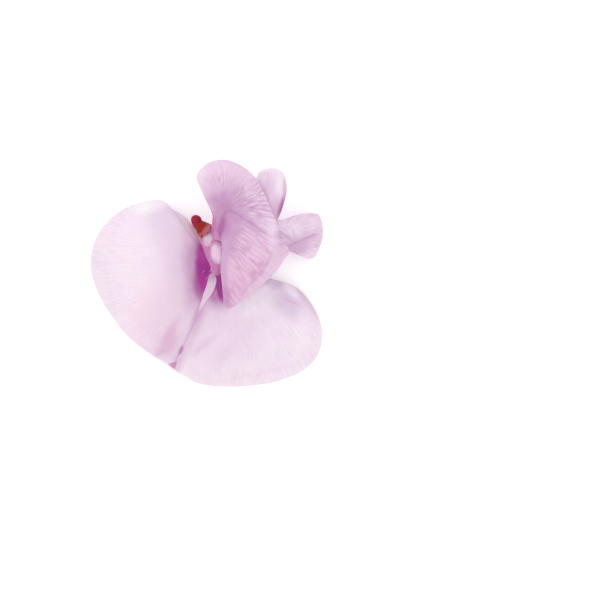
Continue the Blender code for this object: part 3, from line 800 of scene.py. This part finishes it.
# Keel: two petals grown together into a boat that holds the stamens and the pistil. Its
# pale base shows beside the throat, it bends under the left wing, and its beak shows past
# the wing's far side. It grows from the calyx between the wings.
KEEL_STATIONS = [
    ((-0.25, 6.95, 5.35), 0.85, 0.45, 0.60, 120),
    ((0.15, 6.40, 5.42), 1.08, 0.80, 0.95, 120),
    ((0.60, 5.65, 5.62), 1.45, 1.00, 1.32, 130),
    ((1.05, 4.75, 5.85), 1.45, 1.20, 1.45, 138),
    ((1.45, 3.80, 6.05), 1.50, 1.40, 1.60, 144),
    ((1.90, 2.90, 6.18), 1.60, 1.60, 1.72, 148),
    ((2.45, 2.20, 6.20), 1.93, 1.70, 1.76, 151),
    ((2.72, 1.95, 6.20), 2.30, 1.75, 1.78, 152),
    ((3.25, 1.78, 6.18), 0.85, 1.82, 1.78, 153),
    ((4.10, 1.75, 6.12), 1.50, 1.90, 1.80, 155),
    ((5.35, 1.95, 6.10), 2.10, 2.00, 1.85, 155),
    ((7.10, 3.45, 6.00), 2.20, 1.90, 1.80, 155),
    ((8.30, 5.55, 5.90), 1.80, 1.70, 1.60, 155),
    ((9.05, 7.80, 5.80), 1.45, 1.45, 1.35, 155),
    ((9.60, 10.20, 5.85), 1.85, 1.90, 1.50, 160),
    ((9.80, 12.60, 5.95), 2.25, 2.25, 1.55, 165),
    ((9.80, 14.70, 5.95), 1.95, 1.90, 1.25, 170),
    ((9.80, 15.42, 5.95), 1.25, 1.20, 0.75, 172),
    ((9.80, 15.70, 5.95), 0.05, 0.05, 0.05, 175),
]
KEEL_WALL = 0.32
KEEL_HALF_ROUND = 3.0               # about, from its closed side round to its open edge
BULGE_CENTRE = (1.95, 3.1)          # the swelling beside the throat, which the keel's material paints with a highlight
BULGE_HALF_SIZE = (0.85, 1.4)
BULGE_HEIGHT = 0.46
BULGE_RISE = (6.0, 7.2)             # from and to which height of the keel it sets in


def keel_axis(places):
    """Points on the keel's axis, with its open side and sideways directions."""
    last = len(KEEL_STATIONS) - 1
    points = [station[0] for station in KEEL_STATIONS]
    here = smooth_rows(points, places)
    along = unit(smooth_rows(points, np.minimum(places + 0.05, last))
                 - smooth_rows(points, np.maximum(places - 0.05, 0)))
    opened = unit(np.stack([-along[:, 1], along[:, 0], 0 * along[:, 0]], -1))
    return here, opened, np.cross(along, opened)


def keel_middle(rows, columns):
    """Middle surface of the keel, with each point's place along its axis and signed share.

    A station holds its point on the axis, the reach to the closed and to the open side, the
    half width, and how far it folds round each way in degrees."""
    places = np.linspace(0, len(KEEL_STATIONS) - 1, rows + 1)
    sizes = [station[1:] for station in KEEL_STATIONS]
    closed, open_reach, width, fold = smooth_rows(sizes, places).T
    here, opened, sideways = keel_axis(places)
    share = np.linspace(-1, 1, columns + 1)
    angle = np.radians(fold[:, None] * share)
    reach = np.where(np.cos(angle) > 0, closed[:, None], open_reach[:, None])
    middle = (here[:, None] - opened[:, None] * (reach * np.cos(angle))[..., None]
              + sideways[:, None] * (width[:, None] * np.sin(angle))[..., None])
    where, side = np.meshgrid(places, share, indexing="ij")
    return middle, where, side


middle, where, share = keel_middle(rows=220, columns=90)
centre_line = keel_axis(where[:, 0])[0][:, None]
outside = unit(middle - centre_line)
bulge = np.exp(-(((middle[..., :2] - BULGE_CENTRE) / BULGE_HALF_SIZE) ** 4).sum(-1))
middle[..., 2] += BULGE_HEIGHT * bulge * part_way(middle[..., 2], *BULGE_RISE)
place = np.stack([where, share * KEEL_HALF_ROUND, share], -1)
keel = shell_object("keel_petal", middle, np.full(where.shape, KEEL_WALL), place, outside)


def keel_material():
    """Pale pink in fine streaks, magenta where it lies in the throat, with painted shade beside the
    left wing's edge and painted highlights along its beak and on the swelling beside the throat.
    """
    petal = Petal("keel_skin", (236, 217, 233), roughness=0.42, glow=0.3)
    streak = noise(combined(petal.tree, petal.across * 5.0, petal.along * 0.5), 1.3)
    petal.lay(ramp(streak, 0.5, 0.7), (217, 188, 216), 0.5)
    petal.raise_by(streak, 0.3)
    petal.stains_shades_or_lights([
        # Painted highlight along the beak.
        (11.1, 13.0, 0.42, 2.2, -5, 0.8, (245, 235, 244), 0.6),
        # These two are painted shade beside the left wing's edge.
        (9.3, 12.6, 0.9, 1.9, 0, 0.8, (222, 188, 216), 0.7),
        (10.5, 9.7, 0.7, 1.7, -12, 0.8, (212, 168, 205), 0.7),
        (11.7, 10.1, 0.62, 2.3, -19, 0.6, (160, 66, 144), 0.95),
        (11.95, 12.9, 0.3, 1.6, -4, 0.7, (213, 168, 205), 0.7),
    ])
    upper = ramp(petal.z, 5.0, 6.6)
    petal.stain_shade_or_light(0.9, 2.9, 1.5, 3.7, 16, 0.4, (188, 104, 160), upper)
    petal.stain_shade_or_light(-0.38, 4.8, 0.55, 1.2, 12, 0.5, (180, 94, 148), 0.85)
    petal.stain_shade_or_light(1.5, 0.6, 1.2, 1.3, 0, 0.6, (192, 104, 166), upper * 0.85)
    grain = noise(petal.position, 3.2, 3.0)
    rough = ramp(grain, 0.35, 0.75) * ramp(petal.along, 8.2, 7.2) * upper
    petal.lay(rough, (218, 168, 202), 0.4)
    petal.raise_by(rough, 0.15)
    petal.stains_shades_or_lights([
        (0.45, 5.35, 0.75, 0.6, -25, 0.4, (216, 190, 203), 1.0, 0.3, 7.0, 1.1),
        (0.35, 4.6, 0.6, 0.5, -10, 0.6, (222, 188, 215), 0.7, 0.3, 7.2, 1.1),
        # The swelling: darker at its edge, with a painted highlight over its middle.
        (2.1, 3.12, 1.35, 1.7, 4, 0.25, (210, 164, 203), 0.6, 0.3, 8.2, 1.9),
        (2.3, 3.15, 1.36, 1.58, 4, 0.25, (228, 196, 221), 1.0, 0.3, 8.2, 1.8),
        (2.3, 5.2, 0.7, 1.0, 0, 0.5, (190, 112, 168), 0.8),
    ])
    material = petal.finish(depth=0.10)
    set_inputs(petal.shader, {"Coat Weight": 0.15, "Coat Roughness": 0.25})
    return material


dress(keel, keel_material(), ["keel"])

# Stamens: ten threads of cream tissue with a pollen head each. Nine are grown together at
# their lower part in a split sheath round the pistil, and the tenth lies free in the split.
# All ten grow from the bottom of the calyx.
SHEATH_RADIUS = 0.5
SHEATH_WALL = 0.16
SHEATH_RIPPLE = 0.035               # how far each filament shows in it, as a share of its radius
SHEATH_OPENING = 42                 # degrees each way that the sheath leaves open
SHEATH_END = 11.0                   # ends along the keel's axis, counted in its stations
FILAMENTS = 9
FILAMENT_START = 10.75
FILAMENT_END = 14.0
FILAMENT_RADIUS = 0.08
FREE_START = 0.2
FREE_OFFSET = 0.66
FREE_RADIUS = 0.1
HEAD_LENGTH = 0.9
HEAD_RADIUS = 0.2
SHEATH_HALF_ANGLE = math.radians(180 - SHEATH_OPENING)
FILAMENT_STEP = 2 * SHEATH_HALF_ANGLE / FILAMENTS    # from one filament to the next

places = np.linspace(0, SHEATH_END, 91)
here, opened, sideways = keel_axis(places)
share = np.linspace(-1, 1, 55)
angle = (SHEATH_HALF_ANGLE * share)[None, :, None]
ripple = 1 + SHEATH_RIPPLE * np.cos(FILAMENTS * np.pi * (share + 1))
radius = (SHEATH_RADIUS * ripple)[None, :, None]
middle = (here[:, None] - opened[:, None] * (radius * np.cos(angle))
          + sideways[:, None] * (radius * np.sin(angle)))
where, side = np.meshgrid(places, share, indexing="ij")
place = np.stack([where, side, side], -1)
sheath = shell_object("stamen_sheath_tube", middle, np.full(where.shape, SHEATH_WALL), place,
                      middle - here[:, None])


def fused_tissue_material(name, colour, deep, roughness, scale):
    """Plain plant tissue: two close tints in soft streaks, with a fine skin."""
    petal = Petal(name, colour, roughness, glow=0.15)
    uneven = noise(petal.position, scale, 3.0)
    petal.lay(ramp(uneven, 0.4, 0.65, growth="LINEAR"), deep, 0.7)
    petal.raise_by(uneven, 0.4)
    return petal.finish(depth=0.06)


cream = fused_tissue_material("stamen_cream", (240, 236, 218), (228, 222, 190),
                              roughness=0.55, scale=2.0)
dress(sheath, cream, ["stamen_sheath"])


def grown_mesh(name, source, tree, values):
    """Runs a Geometry Nodes tree on an object and keeps the result as a plain mesh object."""
    modifier = source.modifiers.new(tree.name, "NODES")
    modifier.node_group = tree
    for item in tree.interface.items_tree:
        if item.in_out == "INPUT" and item.name in values:
            modifier[item.identifier] = values[item.name]
    bpy.context.view_layer.update()
    seen = source.evaluated_get(bpy.context.evaluated_depsgraph_get())
    mesh = bpy.data.meshes.new_from_object(seen)
    source.modifiers.remove(modifier)
    mesh.name = name
    return placed(name, mesh)


def end_tree(tree, result, geometry, material, smooth):
    """Ends a tree with real geometry that carries its material."""
    real = node(tree, "GeometryNodeRealizeInstances", {0: geometry})
    if smooth:
        real = node(tree, "GeometryNodeSetShadeSmooth", {0: real})
    dressed = node(tree, "GeometryNodeSetMaterial", {"Geometry": real, "Material": material})
    tree.links.new(dressed.socket, result["Geometry"])
    return tree


def axis_line(name, places):
    """Line of points along the keel's axis that carries its open side and sideways directions."""
    here, opened, sideways = keel_axis(places)
    mesh = bpy.data.meshes.new(name)
    mesh.from_pydata((here * MM).tolist(), [(i, i + 1) for i in range(len(places) - 1)], [])
    store(mesh, "open_side", opened)
    store(mesh, "sideways", sideways)
    return placed(name, mesh)


def filament_tree():
    """Threads round a line, each ending in a pollen head: the sheath's nine if not changed."""
    tree, given, result = new_tree("filaments_round_the_axis", "GeometryNodeTree", {
        "Geometry": "Geometry", "Threads": FILAMENTS, "Offset": SHEATH_RADIUS * MM,
        "First Angle": FILAMENT_STEP / 2 - SHEATH_HALF_ANGLE, "Angle Step": FILAMENT_STEP,
        "Thread Radius": FILAMENT_RADIUS * MM,
        "Head Length": HEAD_LENGTH * MM, "Head Radius": HEAD_RADIUS * MM,
        "Material": "Material"}, {"Geometry": "Geometry"})
    line = node(tree, "GeometryNodeMeshToCurve", {0: given["Geometry"]})
    copies = node(tree, "GeometryNodeDuplicateElements", {
        "Geometry": line, "Amount": given["Threads"]}, domain="SPLINE")
    angle = copies.other("Duplicate Index") * given["Angle Step"] + given["First Angle"]
    open_side, sideways = (
        node(tree, "GeometryNodeInputNamedAttribute", {0: label}, data_type="FLOAT_VECTOR")
        for label in ("open_side", "sideways"))
    cosine = maths("COSINE", angle) * given["Offset"]
    sine = maths("SINE", angle) * given["Offset"]
    moved = node(tree, "GeometryNodeSetPosition", {
        "Geometry": copies, "Offset": open_side * -cosine + sideways * sine})
    profile = node(tree, "GeometryNodeCurvePrimitiveCircle", {
        "Resolution": 8, "Radius": given["Thread Radius"]})
    threads = node(tree, "GeometryNodeCurveToMesh", {"Curve": moved, "Profile Curve": profile,
                                                     "Fill Caps": True})
    ends = node(tree, "GeometryNodeCurveEndpointSelection", {"Start Size": 0, "End Size": 1})
    ball = node(tree, "GeometryNodeMeshUVSphere", {"Segments": 14, "Rings": 10, "Radius": 1.0})
    size = combined(tree, given["Head Radius"], given["Head Radius"], given["Head Length"] * 0.5)
    turn = node(tree, "FunctionNodeAlignRotationToVector", {
        "Vector": node(tree, "GeometryNodeInputTangent")}, axis="Z")
    heads = node(tree, "GeometryNodeInstanceOnPoints", {
        "Points": moved, "Selection": ends, "Instance": ball, "Rotation": turn, "Scale": size})
    both = node(tree, "GeometryNodeJoinGeometry", {0: threads})
    tree.links.new(heads.socket, both.socket.node.inputs[0])
    return end_tree(tree, result, both, given["Material"], smooth=True)


FILAMENT_TREE = filament_tree()
guide = axis_line("filament_guide", np.linspace(FILAMENT_START, FILAMENT_END, 60))
filaments = grown_mesh("stamen_filaments", guide, FILAMENT_TREE, {"Material": cream})
bpy.data.objects.remove(guide)
dress(filaments, cream, [])

guide = axis_line("free_guide", np.linspace(FREE_START, FILAMENT_END, 150))
free_stamen = grown_mesh("free_stamen_thread", guide, FILAMENT_TREE, {
    "Threads": 1, "Offset": FREE_OFFSET * MM, "First Angle": math.pi, "Angle Step": 0.0,
    "Thread Radius": FREE_RADIUS * MM, "Material": cream})
bpy.data.objects.remove(guide)
dress(free_stamen, cream, ["free_stamen"])

# Pistil: the young pod inside the sheath, green and downy, then the thin style that runs
# up into the beak and ends in the round stigma. It grows from the bottom of the calyx.
PISTIL_RADIUS = 0.16
STYLE_SHARE = 0.7                   # the style's radius as a share of the pod's
STYLE_START = 10.0
PISTIL_START = 0.1
PISTIL_END = 15.1
STIGMA_SHARES = [0.9, 1.3, 1.5, 1.45, 1.1, 0.6]
POINT_RADIUS = 1e-4                 # what a round body's ends are drawn in to


def tube_object(name, centres, radii, sides):
    """Closed round body along centres, drawn in to a point at both ends."""
    centres = np.concatenate([centres[:1], centres, centres[-1:]])
    centres[0] -= POINT_RADIUS * (centres[2] - centres[1])
    centres[-1] += POINT_RADIUS * (centres[-2] - centres[-3])
    radii = np.concatenate([[POINT_RADIUS], np.maximum(radii, POINT_RADIUS), [POINT_RADIUS]])
    along = unit(np.gradient(centres, axis=0))
    across = unit(np.cross(along, np.array([0.0, 0.0, 1.0])))
    upward = np.cross(across, along)
    turn = (2 * np.pi * np.arange(sides) / sides)[None, :, None]
    ring = across[:, None] * np.cos(turn) + upward[:, None] * np.sin(turn)
    points = centres[:, None] + ring * radii[:, None, None]
    number = np.arange(len(centres) * sides).reshape(len(centres), sides)
    after = np.roll(number, -1, axis=1)
    quads = np.stack([number[:-1], after[:-1], after[1:], number[1:]], -1).reshape(-1, 4)
    return mesh_object(name, points.reshape(-1, 3), quads, caps=[number[0, ::-1], number[-1]])


places = np.linspace(PISTIL_START, PISTIL_END, 120)
centres = keel_axis(places)[0]
radii = PISTIL_RADIUS * np.where(places < STYLE_START, 1.0, STYLE_SHARE)
radii *= np.clip((places - PISTIL_START) * 3 + 0.5, 0, 1)
radii[-len(STIGMA_SHARES):] = PISTIL_RADIUS * np.array(STIGMA_SHARES)
pistil = tube_object("pistil_and_style", centres, radii, sides=16)
green = fused_tissue_material("pistil_green", (196, 206, 158), (170, 186, 128),
                              roughness=0.5, scale=3.0)
dress(pistil, green, ["pistil"])

# Calyx: the small red-brown cup that holds every petal's claw, with five short teeth and a
# fine down, rosy towards its mouth. It grows from the stalk.
CALYX_MOUTH = (0.32, 6.13, 5.00)
CALYX_AXIS = (0.70, -0.714, 0.0)
CALYX_ACROSS = (0.714, 0.70, 0.0)
CALYX_LENGTH = 2.25
CALYX_DEPTH = 1.4
CALYX_WALL = 0.22
CALYX_MOUTH_RADII = (1.48, 2.60)    # across, upright
CALYX_BASE_RADII = (0.50, 0.60)
CALYX_SQUARENESS = 2.3
CALYX_TEETH = 5
CALYX_NOTCH = 0.34
CALYX_FLARE = 0.75                  # under 1 widens it soonest near its base
CALYX_UNEVEN = 0.22
RIM_PLACE = 0.615                   # where the way from outside in passes the cup's rim
HAIRS_PER_AREA = 1.2e7              # on a square metre
HAIR_LENGTH = 0.10
HAIR_RADIUS = 0.006
HAIR_LEAN = 0.8                     # radians at most
BARE_FROM = (-0.05, 6.55, 5.0)      # the down ends here, towards the mouth


def in_metres(point):
    return tuple(value * MM for value in point)


def calyx_tree():
    """Cup lofted from its base over its toothed rim and back down its inside."""
    tree, size, result = new_tree("toothed_cup", "GeometryNodeTree", {
        "Geometry": "Geometry", "Length": CALYX_LENGTH * MM, "Depth": CALYX_DEPTH * MM,
        "Wall": CALYX_WALL * MM, "Mouth Width": CALYX_MOUTH_RADII[0] * MM,
        "Mouth Height": CALYX_MOUTH_RADII[1] * MM, "Base Width": CALYX_BASE_RADII[0] * MM,
        "Base Height": CALYX_BASE_RADII[1] * MM, "Squareness": CALYX_SQUARENESS,
        "Flare": CALYX_FLARE, "Teeth": CALYX_TEETH, "Notch": CALYX_NOTCH * MM,
        "Mouth": in_metres(CALYX_MOUTH), "Axis": CALYX_AXIS, "Across": CALYX_ACROSS,
        "Material": "Material"}, {"Geometry": "Geometry"})
    grid = node(tree, "GeometryNodeMeshGrid", {"Size X": 1.0, "Size Y": 1.0, "Vertices X": 121,
                                               "Vertices Y": 61})
    round_it, on_way, _ = node(tree, "GeometryNodeInputPosition").split()
    angle = round_it * (2 * math.pi)
    # The way goes from the base up the outside, over the rim and back down the inside.
    on_way = on_way + 0.5
    inside = maths("GREATER_THAN", on_way, RIM_PLACE)
    outer = curve(on_way, [(0, 1), (0.03, 0.97), (0.6, 0.0), (0.63, 0.02), (0.9, 0.97), (1, 1)])
    deep = outer * (size["Length"] - inside * (size["Length"] - size["Depth"]))
    open_share = 1.0 - deep / size["Length"]
    grown = maths("POWER", maths("MAXIMUM", open_share, 0.0), size["Flare"])
    closing = curve(on_way, [(0, 0), (0.02, 0.55), (0.06, 0.92), (0.1, 1.0), (0.9, 1.0),
                             (0.96, 0.8), (1, 0)])
    # Cosine and sine to less than full power make the cup's round a little square.
    power = maths("DIVIDE", 2.0, size["Squareness"])
    arms = []
    for label, wave in (("Width", "COSINE"), ("Height", "SINE")):
        base = size["Base " + label]
        full = grown * (size["Mouth " + label] - base) + base - inside * size["Wall"]
        turn = maths(wave, angle)
        arms.append(maths("POWER", abs(turn), power) * maths("SIGN", turn) * (full * closing))
    # The rim is drawn back between the teeth.
    toothed = maths("COSINE", (angle - math.pi / 2) * size["Teeth"])
    between = maths("POWER", maths("MAXIMUM", -toothed, 0.0), 1.3)
    near_rim = maths("MAXIMUM", 1.0 - (1.0 - open_share) * 2.2, 0.0)
    back = -(deep + between * near_rim * size["Notch"])
    place = (size["Mouth"] + size["Axis"] * back + size["Across"] * arms[0]
             + combined(tree, z=arms[1]))
    shaped = node(tree, "GeometryNodeSetPosition", {"Geometry": grid, "Position": place})
    uneven = (noise(place, 0.7 / MM, output=1) - (0.5, 0.5, 0.5)) * (CALYX_UNEVEN * MM)
    rough = node(tree, "GeometryNodeSetPosition", {"Geometry": shaped, "Offset": uneven})
    closed = node(tree, "GeometryNodeMergeByDistance", {"Geometry": rough, "Distance": 2e-6})
    return end_tree(tree, result, closed, size["Material"], smooth=True)


def calyx_material():
    """Red brown, rosy at its mouth, uneven."""
    petal = Petal("calyx_skin", (144, 26, 18), roughness=0.5, glow=0.1)
    set_inputs(petal.shader, {"Specular IOR Level": 0.12, "Sheen Weight": 0.0})
    petal.stains_shades_or_lights([
        (0.95, 6.30, 1.7, 1.10, 40, 0.3, (184, 98, 108), 0.95, 0.4),
        (-0.5, 5.6, 0.6, 0.4, -30, 0.4, (182, 84, 88), 0.9, 0.5),
        (-1.35, 7.75, 0.6, 0.55, 0, 0.5, (156, 30, 50), 0.8),
    ])
    uneven = noise(petal.position, 2.4, 3.0)
    petal.lay(ramp(uneven, 0.45, 0.65), (134, 24, 26), 0.4)
    petal.raise_by(uneven, 0.6)
    return petal.finish(depth=0.08)


cup_start = placed("calyx_start", bpy.data.meshes.new("calyx_start"))
calyx_skin = calyx_material()
calyx = grown_mesh("calyx_cup", cup_start, calyx_tree(), {"Material": calyx_skin})
bpy.data.objects.remove(cup_start)
dress(calyx, calyx_skin, ["calyx"])


def down_tree():
    """Short fine hairs scattered over a surface."""
    tree, given, result = new_tree("fine_down", "GeometryNodeTree", {
        "Geometry": "Geometry", "Hairs Per Area": HAIRS_PER_AREA,
        "Hair Length": HAIR_LENGTH * MM, "Hair Radius": HAIR_RADIUS * MM, "Lean": HAIR_LEAN,
        "Seed": 7, "Bare From": in_metres(BARE_FROM), "Bare Towards": CALYX_AXIS,
        "Material": "Material"}, {"Geometry": "Geometry"})
    away = node(tree, "GeometryNodeInputPosition") - given["Bare From"]
    ahead = maths("DOT_PRODUCT", away, given["Bare Towards"])
    spots = node(tree, "GeometryNodeDistributePointsOnFaces", {
        "Mesh": given["Geometry"], "Seed": given["Seed"],
        "Density": maths("LESS_THAN", ahead, 0.0) * given["Hairs Per Area"]})
    hair = node(tree, "GeometryNodeMeshCone", {
        "Vertices": 4, "Side Segments": 1, "Radius Top": 0.0,
        "Radius Bottom": given["Hair Radius"], "Depth": given["Hair Length"]})
    lean = given["Lean"]
    random_turn = node(tree, "FunctionNodeRandomValue", {
        0: combined(tree, -lean, -lean), 1: combined(tree, lean, lean, 2 * math.pi),
        "Seed": given["Seed"]}, data_type="FLOAT_VECTOR")
    leaning = node(tree, "FunctionNodeRotateRotation", {
        0: spots.other("Rotation"), 1: random_turn}, rotation_space="LOCAL")
    length = node(tree, "FunctionNodeRandomValue", {2: 0.5, 3: 1.1, "Seed": given["Seed"]}, 1,
                  data_type="FLOAT")
    hairs = node(tree, "GeometryNodeInstanceOnPoints", {
        "Points": spots, "Instance": hair, "Rotation": leaning, "Scale": length})
    return end_tree(tree, result, hairs, given["Material"], smooth=False)


down_tone = fused_tissue_material("calyx_down", (168, 66, 62), (140, 44, 42),
                                  roughness=0.6, scale=2.0)
calyx_down = grown_mesh("calyx_down", calyx, down_tree(), {"Material": down_tone})
dress(calyx_down, down_tone, [])

# Pedicel: the stub of the flower's own stalk, dark red and rounded where it came away. The
# calyx grows on its upper end.
STALK_POINTS = [(-0.85, 7.00, 5.00), (-1.10, 7.40, 5.02), (-1.26, 7.76, 5.05),
                (-1.36, 8.08, 5.08), (-1.46, 8.50, 5.10), (-1.50, 8.86, 5.10)]
STALK_RADII = [0.70, 0.76, 0.80, 0.79, 0.77, 0.70]
STALK_ROUNDING = 0.75

places = np.linspace(0, len(STALK_POINTS) - 1, 34)
centres = smooth_rows(STALK_POINTS, places)
radii = smooth_rows([[radius] for radius in STALK_RADII], places)[:, 0]
reach = np.linalg.norm(centres - centres[-1], axis=1)
radii *= np.sqrt(np.clip(1 - (1 - np.minimum(reach / STALK_ROUNDING, 1)) ** 2, 0, 1))
pedicel = tube_object("pedicel_stub", centres, np.maximum(radii, 0.02), sides=40)
stalk_red = fused_tissue_material("stalk_red", (160, 34, 66), (134, 18, 40),
                                  roughness=0.4, scale=1.6)
set_inputs(stalk_red.node_tree.nodes["Principled BSDF"].inputs,
           {"Specular IOR Level": 0.15, "Sheen Weight": 0.0})
dress(pedicel, stalk_red, ["pedicel"])

# Floor, light and camera: a plain pale surface under soft even light, seen from straight
# above through a long lens.
FLOOR_HALF = 1.5                    # metres, as are the lights' places
corners = np.array([[-1, -1, 0], [1, -1, 0], [1, 1, 0], [-1, 1, 0]]) * FLOOR_HALF / MM
floor = mesh_object("floor", corners, np.array([[0, 1, 2, 3]]))
floor_white = bpy.data.materials.new("floor_white")
floor_white.use_nodes = True
set_inputs(floor_white.node_tree.nodes["Principled BSDF"].inputs, {
    "Base Color": (0.97, 0.97, 0.97, 1.0), "Roughness": 0.9, "Specular IOR Level": 0.1,
    "Emission Color": (1.0, 1.0, 1.0, 1.0), "Emission Strength": 0.2})
floor.data.materials.append(floor_white)

sky = bpy.data.worlds.new("soft_white_room")
sky.use_nodes = True
set_inputs(sky.node_tree.nodes["Background"].inputs, {
    "Color": (1.0, 1.0, 1.0, 1.0), "Strength": 1.0})
bpy.context.scene.world = sky


def soft_light(name, place, size, power):
    lamp = bpy.data.lights.new(name, "AREA")
    lamp.shape = "DISK"
    lamp.size = size
    lamp.energy = power
    made = placed(name, lamp)
    made.location = place
    made.rotation_euler = (-Vector(place)).to_track_quat("-Z", "Y").to_euler()


soft_light("window_light", (-0.30, 0.28, 0.42), size=0.35, power=0.38)
soft_light("fill_light", (0.45, -0.10, 0.35), size=0.4, power=0.08)

VIEW_CENTRE = (14.175 * MM, -3.9 * MM)
VIEW_WIDTH = 90 * MM
VIEW_HEIGHT = 4 * MM                # the height at which the picture is that wide
lens = bpy.data.cameras.new("camera")
lens.lens = 200
lens.sensor_width = 36
away = VIEW_WIDTH / 2 / math.tan(lens.angle / 2)
lens.clip_start = 0.01
lens.clip_end = 10
camera = placed("camera", lens)
camera.location = (*VIEW_CENTRE, VIEW_HEIGHT + away)
bpy.context.scene.camera = camera
bpy.context.scene.view_settings.view_transform = "Standard"
bpy.context.scene.cycles.use_denoising = True
